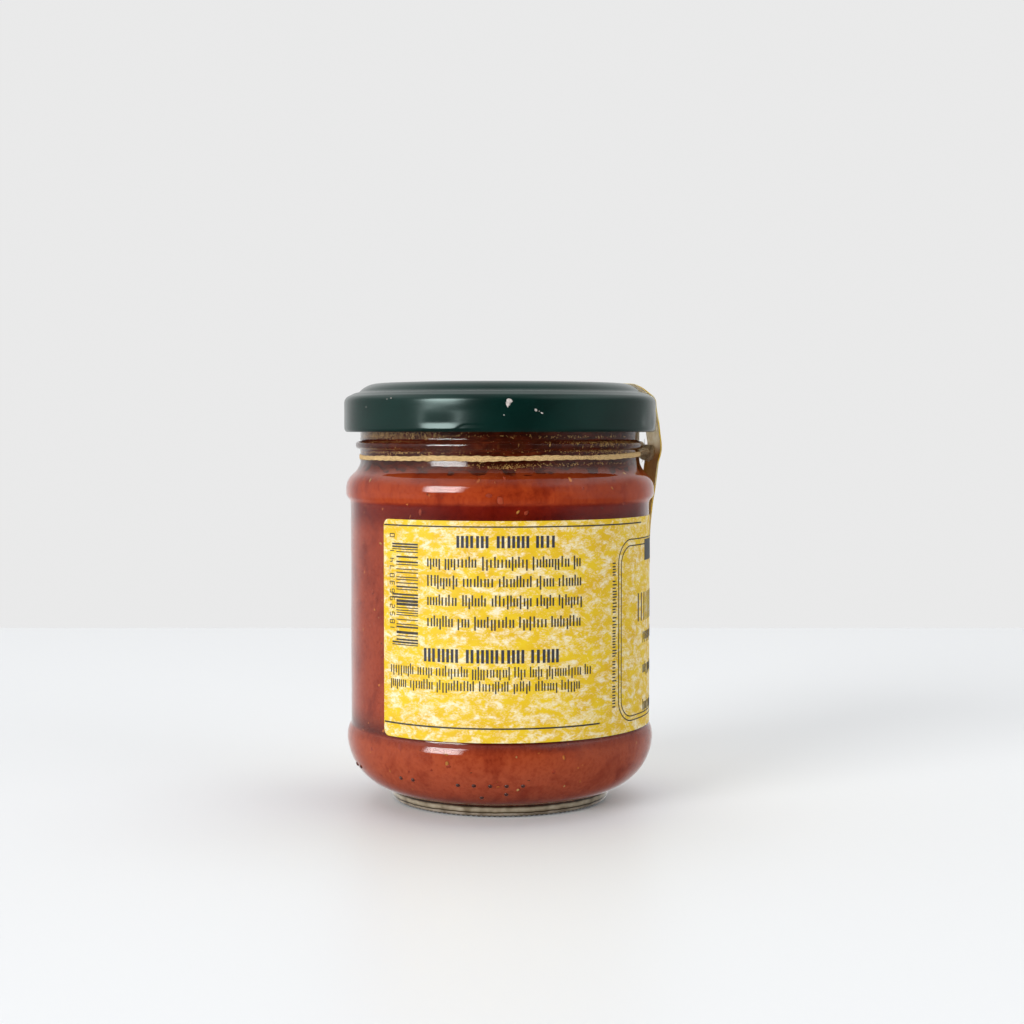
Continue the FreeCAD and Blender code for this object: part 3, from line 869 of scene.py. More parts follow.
@dataclass(frozen=True)
class JarForm:
    """The glass jar's sizes, shared by the glass and what fills it."""

    foot_inner: float = 20.8
    foot_outer: float = 23.0
    foot_round: float = 1.3
    foot_height: float = 2.3
    foot_flare: float = 0.1
    push_up: float = 2.6
    push_up_edge: float = 1.5
    heel_centre: float = 21.6
    heel_round: float = 12.6
    heel_start: float = -77.0
    crown_start: float = -3.5
    heel_belt_z: float = 14.88
    heel_belt_top: float = 16.33
    panel_radius: float = 33.3
    panel_z: float = 17.33
    panel_top: float = 65.93
    shoulder_radius: float = 34.3
    shoulder_z: float = 68.33
    shoulder_top: float = 69.33
    neck_radius: float = 31.1
    neck_z: float = 75.93
    bead_z: float = 78.03
    bead_top: float = 79.83
    bead_proud: float = 1.05
    rim_round: float = 0.7
    floor_z: float = 5.0
    cavity_radius: float = 30.9
    cavity_step: float = 67.93
    mouth_radius: float = 28.8

    def heel_crown(self, heel_radius: float) -> Array:
        """Points of the heel belt's crown, which leans in before it steps to the recess.

        Args:
            heel_radius: The belt's greatest radius.

        Returns:
            Radius and height, one point a row.
        """
        turn = math.radians(self.crown_start)
        low = self.heel_belt_z + self.heel_round * math.sin(turn)
        start = self.heel_centre + self.heel_round * math.cos(turn)
        top = self.heel_belt_top
        return np.array(
            [
                (start, low),
                (heel_radius - 0.03, low + 0.55),
                (heel_radius - 0.12, top - 0.95),
                (heel_radius - 0.32, top - 0.15),
                (heel_radius - 0.58, top + 0.4),
                (self.panel_radius + 0.06, top + 0.8),
                (self.panel_radius, self.panel_z + 0.1),
            ]
        )

    def outside(self, rim: float) -> Array:
        """The outer section, from the axis under the base up to the rim.

        Args:
            rim: The rim's height.

        Returns:
            Radius and height, one point a row.
        """
        ring = self.foot_inner - self.push_up_edge
        side = self.foot_outer + self.foot_round
        share = np.linspace(0, 1, 8)[:, None]
        hollow = self.push_up - (self.push_up - self.push_up_edge) * share**2
        start = math.radians(self.heel_start)
        heel_middle = (self.heel_centre, self.heel_belt_z)
        heel = (
            self.heel_centre + self.heel_round * math.cos(start),
            self.heel_belt_z + self.heel_round * math.sin(start),
        )
        flare = (side + self.foot_flare, self.foot_height)
        recess_low = (self.panel_radius, self.panel_z)
        recess_high = (self.panel_radius, self.panel_top)
        belt_low = (self.shoulder_radius, self.shoulder_z)
        belt_high = (self.shoulder_radius, self.shoulder_top)
        neck_low = (self.neck_radius, self.neck_z)
        neck_high = (self.neck_radius, rim - self.rim_round)
        turn = np.linspace(0, math.pi, 10)[1:, None]
        half = (self.bead_top - self.bead_z) / 2
        swell = self.neck_radius + self.bead_proud * np.sin(turn) ** 0.8
        rim_centre = (self.neck_radius - self.rim_round, rim - self.rim_round)
        parts = [
            np.hstack([share * ring, hollow]),
            arc((ring, 0.0), self.push_up_edge, 90, 0, 4),
            line((self.foot_inner, 0.0), (self.foot_outer, 0.0), 5),
            arc((self.foot_outer, self.foot_round), self.foot_round, -90, 0, 8),
            line((side, self.foot_round), flare, 2),
            line(flare, heel, 4),
            arc(heel_middle, self.heel_round, self.heel_start, self.crown_start, 22),
            smooth_path(self.heel_crown(self.heel_centre + self.heel_round), 22)[1:],
            line(recess_low, recess_high, 10),
            ogee(recess_high, belt_low, 8),
            line(belt_low, belt_high, 4),
            ogee(belt_high, neck_low, 14),
            line(neck_low, (self.neck_radius, self.bead_z), 4),
            np.hstack([swell, self.bead_z + half - half * np.cos(turn)]),
            line((self.neck_radius, self.bead_top), neck_high, 14),
            arc(rim_centre, self.rim_round, 0, 90, 4),
        ]
        return np.vstack(parts)

    def inside(self, top: float, grow: float = 0.0) -> Array:
        """The cavity's section, from the axis on its floor up to a level.

        Args:
            top: The level where it ends.
            grow: How far it goes into the glass.

        Returns:
            Radius and height, one point a row.
        """
        heel = self.cavity_radius - self.heel_centre
        wall = self.cavity_radius + grow
        mouth = self.mouth_radius + grow
        floor = self.floor_z - grow
        whole = np.vstack(
            [
                [(0.0, floor)],
                line((0.0, floor), (self.heel_centre, floor), 6),
                arc((self.heel_centre, self.floor_z + heel), heel + grow, -90, 0, 16),
                line((wall, self.floor_z + heel), (wall, self.cavity_step), 60),
                ogee((wall, self.cavity_step), (mouth, self.neck_z), 14),
                line((mouth, self.neck_z), (mouth, top + 12.0), 36),
            ]
        )
        return whole[whole[:, 1] < top - 0.02]


# ---------------------------------------------------------------- glass jar
@dataclass
class GlassJar:
    """The jar itself: foot, heel, recess, shoulder, neck, bead, threads and rim."""

    form: JarForm
    columns: int = 520
    knurls: int = 128
    knurl_depth: float = 0.16
    knurl_out: float = 0.35
    knurl_width: float = 0.75
    threads: int = 4
    thread_radius: float = 31.0
    thread_z: float = 85.3
    thread_depth: float = 1.3
    thread_half: float = 0.75
    thread_span: float = 62.0
    thread_tilt: float = 2.4
    thread_first: float = -22.0
    foot_top: float = 2.62
    pip_radius: float = 0.5
    pip_step: float = 6.05
    pip_rows: tuple[tuple[float, tuple[float, ...]], ...] = (
        (8.7, (-12.3, -11.4, -6.6, -5.65)),
        (8.38, (-2.6, -1.6, -0.6, 0.4, 1.4)),
        (6.38, (0.4,)),
        (5.5, (-1.2,)),
    )

    def relief(self, azimuth: Array, radius: Array, height: Array) -> Grids:
        """Knurls on the foot, threads on the finish and the mould's slight waves.

        Args:
            azimuth: Angles in radians.
            radius: Radii of the section's points.
            height: Their heights.

        Returns:
            The changed radii and heights.
        """
        form = self.form
        outer = radius > form.cavity_radius
        off = (radius - form.foot_outer - self.knurl_out) / self.knurl_width
        foot = np.exp(-(off**2)) * (height < 0.9)
        notch = foot * (0.5 - 0.5 * np.cos(self.knurls * azimuth)) * self.knurl_depth
        degrees = np.degrees(azimuth) - self.thread_first
        pitch = 360 / self.threads
        place = (degrees + pitch / 2) % pitch - pitch / 2
        ends = np.clip((self.thread_span / 2 - np.abs(place)) / 4, 0, 1)
        climb = math.tan(math.radians(self.thread_tilt))
        middle = self.thread_z + np.radians(place) * climb * self.thread_radius
        rise = np.clip(1 - ((height - middle) / (2 * self.thread_half)) ** 2, 0, 1)
        thread = self.thread_depth * rise**0.7 * ends * (radius > form.neck_radius - 0.1)
        wave = ripple(azimuth, height, 9.0, 32.0, 4) * 0.025
        fine = ripple(azimuth, height, 2.4, 32.0, 5) * 0.016
        crest = np.exp(-(((height - form.neck_z + 0.8) / 1.6) ** 2))
        skin = (wave + fine * crest) * outer * (height > 5.0)
        return radius + thread + skin - notch * 0.4, height + notch

    def build(self) -> None:
        """Makes the glass and its mould pips, in place of the plain jar."""
        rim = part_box("glass_jar")[1].z / MM
        outside = self.form.outside(rim)
        mouth = self.form.mouth_radius
        lip = arc(
            (mouth + self.form.rim_round, rim - self.form.rim_round),
            self.form.rim_round,
            90,
            180,
            4,
        )
        land = line(tuple(outside[-1]), (mouth + self.form.rim_round, rim), 1)
        inside = self.form.inside(rim - self.form.rim_round)[::-1]
        section = np.vstack([outside, land, lip, inside[::3], inside[-1:]])
        glass = turned("glass_jar_skin", section, self.columns, CLEAR_GLASS, self.relief)
        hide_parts("glass_jar")
        self.dress_foot(glass)
        self.pips()

    def dress_foot(self, glass: bpy.types.Object) -> None:
        """Gives the outer faces of the standing ring their own finish.

        Args:
            glass: The jar's skin.
        """
        mesh = glass.data
        count = len(mesh.polygons)
        middles = np.empty(count * 3)
        mesh.polygons.foreach_get("center", middles)
        middles = middles.reshape(-1, 3) / MM
        radius = np.hypot(middles[:, 0], middles[:, 1])
        ring = (radius > self.form.foot_inner - 0.3) & (middles[:, 2] < self.foot_top)
        mesh.materials.append(FOOT_GLASS.material())
        mesh.polygons.foreach_set("material_index", ring.astype(np.int32))
        mesh.update()

    def pips(self) -> None:
        """Round pips of the mould code, each a low dome on the heel."""
        centres, outward = [], []
        for height, places in self.pip_rows:
            drop = self.form.heel_belt_z - height
            reach = math.sqrt(self.form.heel_round**2 - drop**2)
            azimuth = np.radians(np.array(places) * self.pip_step)
            level = np.full(len(places), height)
            centres.append(polar(azimuth, self.form.heel_centre + reach, level))
            slope = np.full(len(places), -drop / self.form.heel_round)
            outward.append(polar(azimuth, reach / self.form.heel_round, slope))
        sizes = np.full((sum(len(row) for row in centres), 3), self.pip_radius)
        sizes[:, 2] = 0.3
        scatter("mould_pips", np.vstack(centres), np.vstack(outward), sizes, PIP_GLASS, 11, 0.06)


# ---------------------------------------------------------------- contents
@dataclass
class Contents:
    """The tomato topping, the oil over it and every loose bit against the glass."""

    form: JarForm
    columns: int = 480
    bite: float = 0.16
    oil_bite: float = 0.1
    core_radius: float = 20.0
    wall_radius: float = 18.0
    shore: float = 0.6
    top: float = field(init=False, default=0.0)

    def flesh(self, azimuth: Array, radius: Array, height: Array) -> Grids:
        """Soft lumps under a tenth of a millimetre deep, and a top edge that ripples.

        Args:
            azimuth: Angles in radians.
            radius: Radii of the section's points.
            height: Their heights.

        Returns:
            The changed radii and heights.
        """
        lump = ripple(azimuth, height, 4.0, 31.0, 21) * 0.05
        near_top = np.clip((height - self.top + 2.0) / 2.0, 0, 1)
        shore = ripple(azimuth, 0 * height, 5.0, 31.0, 22) + 0.5 * ripple(
            azimuth, 0 * height, 1.8, 31.0, 23
        )
        shore = shore * self.shore * near_top
        wall = radius > self.core_radius
        return radius + lump * wall, height + shore

    def build(self) -> None:
        """Makes the two layers in place of the plain solids, then the bits."""
        self.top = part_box("topping")[1].z / MM
        oil_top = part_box("oil_layer")[1].z / MM
        wall = self.form.inside(self.top, self.bite)
        lid = line(tuple(wall[-1]), (0.0, self.top - 0.1), 6)
        core = turned("topping_core", np.vstack([wall, lid]), self.columns, TOMATO, self.flesh)
        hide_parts("topping")
        oil = self.form.inside(oil_top, self.oil_bite)
        oil = oil[(oil[:, 1] > self.top - 2.5) & (oil[:, 0] > self.core_radius)]
        start = line((0.0, oil[0, 1]), tuple(oil[0]), 4)[:-1]
        cap = line(tuple(oil[-1]), (0.0, oil_top - 0.02), 6)
        section = np.vstack([[(0.0, oil[0, 1])], start, oil, cap])
        layer = turned("oil_core", section, 240, OIL)
        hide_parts("oil_layer")
        self.bits()
        self.sediment()

    def on_wall(
        self, count: int, low: float, high: float, out: float, draw: np.random.Generator
    ) -> Grids:
        """Random places on the food's skin against the glass.

        Args:
            count: How many.
            low: Lowest height.
            high: Highest height.
            out: How far outside the cavity's wall they sit.
            draw: The source of chance.

        Returns:
            The places and the unit normals there.
        """
        wall = self.form.inside(high + 4.0, 0.0)
        wall = wall[wall[:, 0] > self.wall_radius]
        height = draw.uniform(low, high, count)
        radius = np.interp(height, wall[:, 1], wall[:, 0])
        ahead = np.interp(height + 0.1, wall[:, 1], wall[:, 0])
        slope = (ahead - radius) / 0.1
        norm = np.sqrt(1 + slope**2)
        azimuth = draw.uniform(0, FULL_TURN, count)
        outward = polar(azimuth, 1 / norm, -slope / norm)
        centres = polar(azimuth, radius + out / norm, height - out * slope / norm)
        return centres, outward

    def bits(self) -> None:
        """Flesh, garlic, seeds and herbs, more of each than meets the eye at once."""
        kinds = (
            ("red_flesh_lumps", RED_LUMP, 120, (0.3, 0.8), (0.5, 0.9), 0.0),
            ("orange_flesh_flecks", ORANGE_FLECK, 330, (0.16, 0.5), (0.3, 0.7), 0.01),
            ("garlic_bits", GARLIC_BIT, 60, (0.15, 0.4), (0.5, 0.9), 0.02),
            ("tomato_seeds", SEED, 22, (0.4, 0.65), (0.5, 0.6), 0.02),
            ("herb_bits", HERB_BIT, 60, (0.1, 0.35), (0.3, 0.6), 0.02),
        )
        for seed, (name, finish, count, length, share, thick) in enumerate(kinds, 31):
            draw = np.random.default_rng(seed)
            centres, outward = self.on_wall(count, 7.0, self.top - 2.2, self.bite + 0.04, draw)
            long = draw.uniform(*length, count)
            wide = long * draw.uniform(*share, count)
            deep = np.full(count, 0.06 + thick)
            sizes = np.stack([long, wide, deep], -1)
            scatter(name, centres, outward, sizes, finish, seed + 20)

    def sediment(self) -> None:
        """Gold specks that cling inside the neck, thick in a few places."""
        draw = np.random.default_rng(61)
        patches = (
            (-64.0, 34.0, 81.3, 1.2, 1300),
            (-40.0, 22.0, 80.8, 0.8, 220),
            (52.0, 34.0, 78.2, 0.8, 500),
            (66.0, 20.0, 77.2, 0.7, 300),
            (30.0, 50.0, 80.9, 0.35, 110),
            (-52.0, 36.0, 77.5, 0.4, 220),
            (0.0, 30.0, 74.6, 0.5, 90),
            (2.0, 12.0, 74.2, 0.5, 70),
            (38.0, 40.0, 74.9, 0.4, 120),
            (180.0, 90.0, 79.5, 1.4, 700),
        )
        azimuth, height = [], []
        for middle, spread, level, tall, count in patches:
            azimuth.append(np.radians(draw.normal(middle, spread / 2, count)))
            height.append(draw.normal(level, tall / 2, count))
        azimuth, height = np.concatenate(azimuth), np.concatenate(height)
        wall = self.form.inside(86.0, 0.0)
        wall = wall[wall[:, 0] > self.wall_radius]
        radius = np.interp(height, wall[:, 1], wall[:, 0]) + self.bite
        centres = polar(azimuth, radius, height)
        outward = polar(azimuth, np.ones(len(azimuth)), np.zeros(len(azimuth)))
        long = draw.uniform(0.08, 0.24, len(azimuth))
        sizes = np.stack([long, long * 0.6, np.full(len(azimuth), 0.05)], -1)
        scatter("neck_sediment", centres, outward, sizes, GOLD_DUST, 62)


# ---------------------------------------------------------------- lid
@dataclass
class Lid:
    """The lacquered twist-off lid: panel, ledge, skirt, rolled edge and lugs."""

    columns: int = 600
    radius: float = 34.7
    corner: float = 1.7
    corner_z: float = 89.88
    ledge_radius: float = 31.3
    ledge_z: float = 90.63
    panel_radius: float = 27.2
    panel_z: float = 92.48
    button_radius: float = 13.0
    button_slope: float = 2.0
    button_drop: float = 0.4
    sheet: float = 0.25
    edge_z: float = 81.78
    curl: float = 0.8
    gasket_inner: float = 28.15
    gasket_outer: float = 31.75
    gasket_thickness: float = 0.8
    lug_first: float = -21.5
    lug_half: float = 6.0
    lug_reach: float = 0.8
    dent: float = 0.17
    draft: float = 0.03
    bevel_start: Pair = (32.5, 90.3)
    bevel_end: Pair = (33.44, 89.822)
    bevel_turn: float = 75.0
    lugs: int = 4
    groove_z: float = 83.46
    groove_low: float = 82.25
    groove_depth: float = 0.045
    chips: tuple[tuple[float, float, float, float], ...] = (
        (3.1, 88.2, 0.66, 0.6),
        (2.75, 87.65, 0.5, 0.55),
        (2.6, 87.1, 0.2, 0.26),
        (1.35, 85.3, 0.15, 0.14),
        (12.26, 86.33, 0.3, 0.3),
        (14.35, 85.72, 0.3, 0.16),
        (13.4, 86.1, 0.12, 0.1),
        (-41.0, 88.91, 0.2, 0.13),
        (-43.0, 88.7, 0.1, 0.08),
        (-55.09, 87.11, 0.14, 0.1),
    )

    def section(self) -> Array:
        """The sheet's section, from the axis over the top, round the edge and back.

        Returns:
            Radius and height, one point a row.
        """
        run = self.ledge_radius - self.panel_radius
        rise = self.panel_z - self.ledge_z
        size = (run**2 + rise**2) / (2 * rise)
        turn = math.degrees(math.acos(run / size))
        low = self.panel_z - self.button_drop
        slope = self.button_radius + self.button_slope
        skirt = self.radius
        corner = (skirt - self.draft - self.corner, self.corner_z - self.corner)
        curl_z = self.edge_z + self.curl
        curl = (skirt - self.curl, curl_z)
        inner = skirt - self.sheet
        top = self.ledge_z - self.sheet
        floor = top - self.gasket_thickness
        return np.vstack(
            [
                [(0.0, low)],
                line((0.0, low), (self.button_radius, low), 6),
                line((self.button_radius, low), (slope, self.panel_z), 4),
                line((slope, self.panel_z), (self.panel_radius, self.panel_z), 5),
                arc((self.panel_radius, self.panel_z - size), size, 90, turn, 10),
                line((self.ledge_radius, self.ledge_z), self.bevel_start, 4),
                line(self.bevel_start, self.bevel_end, 3),
                arc(corner, self.corner, self.bevel_turn, 0, 10),
                line((skirt - self.draft, corner[1]), (skirt, self.groove_z + 1.0), 7),
                line((skirt, self.groove_z + 1.0), (skirt, curl_z), 28),
                arc(curl, self.curl, 0, -180, 16),
                line((skirt - 2 * self.curl, curl_z), (inner, curl_z + 1.0), 5),
                line((inner, curl_z + 1.0), (inner - self.draft, corner[1]), 4),
                arc(corner, self.corner - self.sheet, 0, 90, 5),
                line((corner[0], self.corner_z - self.sheet), (self.gasket_outer, top), 2),
                line((self.gasket_outer, top), (self.gasket_outer, floor), 1),
                line((self.gasket_outer, floor), (self.gasket_inner, floor), 3),
                line((self.gasket_inner, floor), (self.gasket_inner, top), 1),
                line((self.gasket_inner, top), (self.gasket_inner, top + 1.0), 1),
                line((self.gasket_inner, top + 1.0), (slope, self.panel_z - self.sheet), 4),
                line((slope, self.panel_z - self.sheet), (0.0, low - self.sheet), 3),
            ]
        )

    def press(self, azimuth: Array, radius: Array, height: Array) -> Grids:
        """Presses the lugs: a shallow hollow outside each and a groove beside it.

        The groove is a small step in, whose height rises smoothly at a lug's end and
        sinks more slowly; the hollow is a bump in azimuth times a bump in height.

        Args:
            azimuth: Angles in radians.
            radius: Radii of the section's points.
            height: Their heights.

        Returns:
            The changed radii and heights.
        """
        pitch = 360 / self.lugs
        place = (np.degrees(azimuth) - self.lug_first + pitch / 2) % pitch - pitch / 2
        lug = np.exp(-((place / self.lug_half) ** 4))
        outside = (radius > self.radius - 0.3) & (height < self.groove_z + 3.5)
        rise = ease((height - self.edge_z - 0.25) / 1.9)
        hollow = lug * rise * ease((self.groove_z + 3.2 - height) / 3.4)
        open_share = ease((place - 4.5) / 5.5) * ease((33.5 - place) / 14.0)
        level = self.groove_low + (self.groove_z - self.groove_low) * open_share
        strength = np.clip((place - 1.0) / 3.0, 0, 1) * np.clip((36.0 - place) / 8.0, 0, 1)
        strength = 0.25 + 0.75 * strength
        groove = strength * ease((level + 0.2 - height) / 0.4)
        soft = ripple(azimuth, height, 14.0, self.radius, 75) * 0.02 - 0.02
        change = (self.dent * hollow + self.groove_depth * groove) * outside
        inward = (radius < self.radius - self.curl) & (radius > self.radius - 1.8)
        tongue = self.lug_reach * lug * inward * (height < self.edge_z + 1.9)
        return radius - change - tongue + soft * outside, height

    def build(self, node: bpy.types.Object) -> None:
        """Makes the pressed lid and lays each flake on its skirt.

        Args:
            node: The plain lid.
        """
        node.data.materials.clear()
        node.data.materials.append(LACQUER.material())
        lid = turned("lid_shell", self.section()[::-1], self.columns, LACQUER, self.press)
        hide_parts("lid")
        rows = np.array(self.chips)
        azimuth = np.radians(rows[:, 0])
        centres = polar(azimuth, self.radius - 0.025, rows[:, 1])
        outward = polar(azimuth, np.ones(len(rows)), np.zeros(len(rows)))
        sizes = np.stack([rows[:, 2], rows[:, 3], np.full(len(rows), 0.035)], -1)
        scatter("lacquer_flakes", centres, outward, sizes, FLAKED, 71, 0.22, True)


# ---------------------------------------------------------------- label
@dataclass
class Strokes:
    """Printed marks, drawn as thin ribbons that hug the label."""

    radius: float
    proud: float = 0.03
    sunk: float = 0.02
    step: float = 0.8
    ribbons: list[tuple[Array, float]] = field(default_factory=list)

    def add(self, points: list[Pair], width: float) -> None:
        """Adds a mark: its line, as distance round the jar and height, and its width."""
        self.ribbons.append((np.array(points, float), width))

    def dense(self, path: Array) -> Array:
        """The path with points at most a step apart, so that it follows the curve.

        Args:
            path: Distance round the jar and height, one point a row.

        Returns:
            The same line with more points.
        """
        along = distances(path)
        count = max(2, int(math.ceil(along[-1] / self.step)) + 1)
        marks = np.unique(np.concatenate([np.linspace(0, along[-1], count), along]))
        return np.stack([np.interp(marks, along, path[:, k]) for k in (0, 1)], -1)

    def build(self, name: str, finish: Finish) -> bpy.types.Object:
        """Makes one mesh of every mark, each a closed thin ribbon.

        Args:
            name: The object's name.
            finish: The ink.

        Returns:
            The new object.
        """
        points, faces, base = [], [], 0
        for path, width in self.ribbons:
            path = self.dense(path)
            ahead = unit(np.gradient(path, axis=0))
            across = np.stack([-ahead[:, 1], ahead[:, 0]], -1) * width / 2
            one, other, under = path + across, path - across, -self.sunk
            ring = ((one, self.proud), (one, under), (other, under), (other, self.proud))
            rings = [
                polar(flat[:, 0] / self.radius, self.radius + lift, flat[:, 1])
                for flat, lift in ring
            ]
            points.append(np.stack(rings, 1).reshape(-1, 3))
            last = base + 4 * (len(path) - 1)
            faces.append(grid_faces(len(path), 4, True)[:, ::-1] + base)
            faces.append(np.array([[base, base + 1, base + 2, base + 3]]))
            faces.append(np.array([[last + 3, last + 2, last + 1, last]]))
            base += 4 * len(path)
        return piece(name, np.vstack(points), faces, finish, False)


class Weight(Enum):
    """How heavy a row of ticks is: stroke width, pitch, and how tall most ticks are."""

    LIGHT = (0.34, 0.66, 0.74)
    SMALL = (0.28, 0.58, 0.74)
    BOLD = (0.6, 0.98, 1.0)


@dataclass
class Label:
    """The wrapped label: sponge-printed paper with plain marks where words stood."""

    front: float = 97.0
    left: float = -47.4
    top_line: float = 62.3
    bottom_line: float = 20.5
    frame_edge: float = 28.5
    frame_gap: float = 0.95
    frame_corner: float = 5.0
    frame_low: float = 19.85
    frame_high: float = 58.95
    frame_squeeze: float = 1.45
    radius: float = field(init=False, default=0.0)
    middle: float = field(init=False, default=0.0)
    start: float = field(init=False, default=0.0)

    def build(self, node: bpy.types.Object) -> None:
        """Papers the label and prints its lines, bars and ticks.

        Args:
            node: The plain label, which is kept and dressed.
        """
        node.data.materials.clear()
        node.data.materials.append(LABEL_PAPER.material())
        self.radius = -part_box("label")[0].y / MM
        self.middle = math.radians(self.front) * self.radius
        self.start = math.radians(self.left) * self.radius
        self.lines()
        self.words()
        self.bars()
        self.emblem()

    def ticks(
        self,
        marks: Strokes,
        row: tuple[float, float, float, float],
        weight: Weight,
        seed: int,
        upright: bool = False,
    ) -> None:
        """Fills a row with word-like groups of plain upright ticks.

        Args:
            marks: Takes the ticks.
            row: Start and end round the jar, base height and tick height.
            weight: How heavy the ticks are.
            seed: Picks the groups.
            upright: Whether the row climbs the label instead of running along it.
        """
        draw = np.random.default_rng(seed)
        start, end, low, tall = row
        width, pitch, usual = weight.value
        place, left = start + width / 2, int(draw.integers(5, 12))
        while place < end - width / 2:
            rise = tall * float(draw.choice([usual, usual, usual, 1.0]))
            drop = tall * float(draw.choice([0.0, 0.0, 0.0, 0.0, 1.0 - usual]))
            if upright:
                marks.add([(low, place), (low + rise, place)], width)
            else:
                marks.add([(place, low - drop), (place, low + rise)], width)
            place += pitch * float(draw.choice([1.0, 1.0, 1.25]))
            left -= 1
            if left == 0:
                place += pitch * 1.1
                left = int(draw.integers(4, 15))

    def words(self) -> None:
        """Rows of ticks: two headings and six lines on the side, one up the edge."""
        text = Strokes(self.radius)
        rows = (
            (-15.7, 18.2, 53.9, 2.3),
            (-15.7, 18.3, 49.9, 2.3),
            (-15.7, 18.2, 45.9, 2.3),
            (-15.7, 18.3, 41.5, 2.3),
        )
        for seed, row in enumerate(rows, 81):
            self.ticks(text, row, Weight.LIGHT, seed)
        for seed, row in enumerate(((-25.4, 20.6, 31.2, 2.2), (-25.4, 17.8, 28.3, 2.1)), 91):
            self.ticks(text, row, Weight.SMALL, seed)
        self.ticks(text, (23.4, 54.6, 26.5, 1.3), Weight.SMALL, 95, True)
        half = self.middle - 39.9
        for seed, level in enumerate((36.6, 29.4, 21.2), 96):
            row = (self.middle - half, self.middle + half, level, 2.4)
            self.ticks(text, row, Weight.SMALL, seed)
        text.build("label_small_ticks", BROWN_INK)
        bold = Strokes(self.radius)
        for seed, row in enumerate(((-9.1, 12.0, 57.95, 2.5), (-16.5, 12.9, 34.1, 2.8)), 101):
            self.ticks(bold, row, Weight.BOLD, seed)
        bold.build("label_heading_ticks", NAVY_INK)

    def lines(self) -> None:
        """Fine rules along both edges and the double frame round the front."""
        rules = Strokes(self.radius, 0.025)
        rules.add([(self.start + 0.2, self.top_line), (38.5, self.top_line)], 0.3)
        rules.add([(self.start + 0.2, self.bottom_line), (22.7, self.bottom_line)], 0.34)
        for inset, width in ((0.0, 0.24), (self.frame_gap, 0.24)):
            rules.add(self.frame_path(inset), width)
        rules.build("label_rules", BROWN_INK)

    def frame_path(self, inset: float) -> list[Pair]:
        """A closed round-cornered frame about the front's middle.

        Args:
            inset: How far it is drawn in.

        Returns:
            Distance round the jar and height of each point.
        """
        half = self.middle - self.frame_edge - inset
        low, high = self.frame_low + inset, self.frame_high - inset * self.frame_squeeze
        size = self.frame_corner - inset
        path = []
        corners = ((1, 1, 0), (-1, 1, 90), (-1, -1, 180), (1, -1, 270))
        for side, rise, turn in corners:
            across = self.middle + side * (half - size)
            level = (high - size) if rise > 0 else (low + size)
            for point in arc((across, level), size, turn - 1, turn + 90, 8):
                path.append((float(point[0]), float(point[1])))
        return path + [path[0]]

    def bars(self) -> None:
        """A plain bar block that lies on its side, and a column of plain digits."""
        draw = np.random.default_rng(111)
        marks = Strokes(self.radius)
        place, top, index = 37.2, 58.7, 0
        while place < top:
            width = float(draw.choice([0.2, 0.2, 0.36, 0.55]))
            guard = index < 2 or place > top - 1.4 or abs(place - 47.8) < 0.7
            marks.add([(-24.9 if guard else -23.7, place), (-17.95, place)], width)
            place += width / 2 + float(draw.choice([0.28, 0.34, 0.5, 0.75])) + 0.12
            index += 1
        for index in range(11):
            self.digit(marks, (7 * index + 1) % 10, (-24.35, 40.0 + 1.62 * index), 1.25)
        self.digit(marks, 0, (-24.3, 59.8), 1.25)
        marks.build("label_bar_block", BROWN_INK)

    def digit(self, marks: Strokes, value: int, corner: Pair, tall: float) -> None:
        """Draws a plain digit of straight strokes, turned a quarter to read upward.

        Args:
            marks: Takes the strokes.
            value: The digit.
            corner: Its lower right corner on the label, which is its foot.
            tall: Its height.
        """
        segments = {
            "a": ((0, 1), (0.55, 1)),
            "b": ((0.55, 1), (0.55, 0.5)),
            "c": ((0.55, 0.5), (0.55, 0)),
            "d": ((0, 0), (0.55, 0)),
            "e": ((0, 0), (0, 0.5)),
            "f": ((0, 0.5), (0, 1)),
            "g": ((0, 0.5), (0.55, 0.5)),
        }
        low_digits = ("abcdef", "bc", "abged", "abgcd", "fgbc")
        high_digits = ("afgcd", "afgedc", "abc", "abcdefg", "abcdfg")
        for name in (low_digits + high_digits)[value]:
            ends = [(corner[0] - y * tall, corner[1] + x * tall) for x, y in segments[name]]
            marks.add(ends, 0.17)

    def emblem(self) -> None:
        """Plain shapes on the front: a solid block over rows of heavy uprights."""
        marks = Strokes(self.radius)
        right = 2 * self.middle
        edge, level, tall = 41.0, 56.2, 4.6
        marks.add([(edge, level), (right - edge, level)], tall)
        marks.build("label_emblem_block", SLATE_INK)
        title = Strokes(self.radius)
        place, low, high, pitch = 37.0, 40.9, 47.0, 1.9
        while place < right - 36.9:
            title.add([(place, low), (place, high)], 0.5)
            place += pitch
        title.build("label_title_ticks", NAVY_INK)


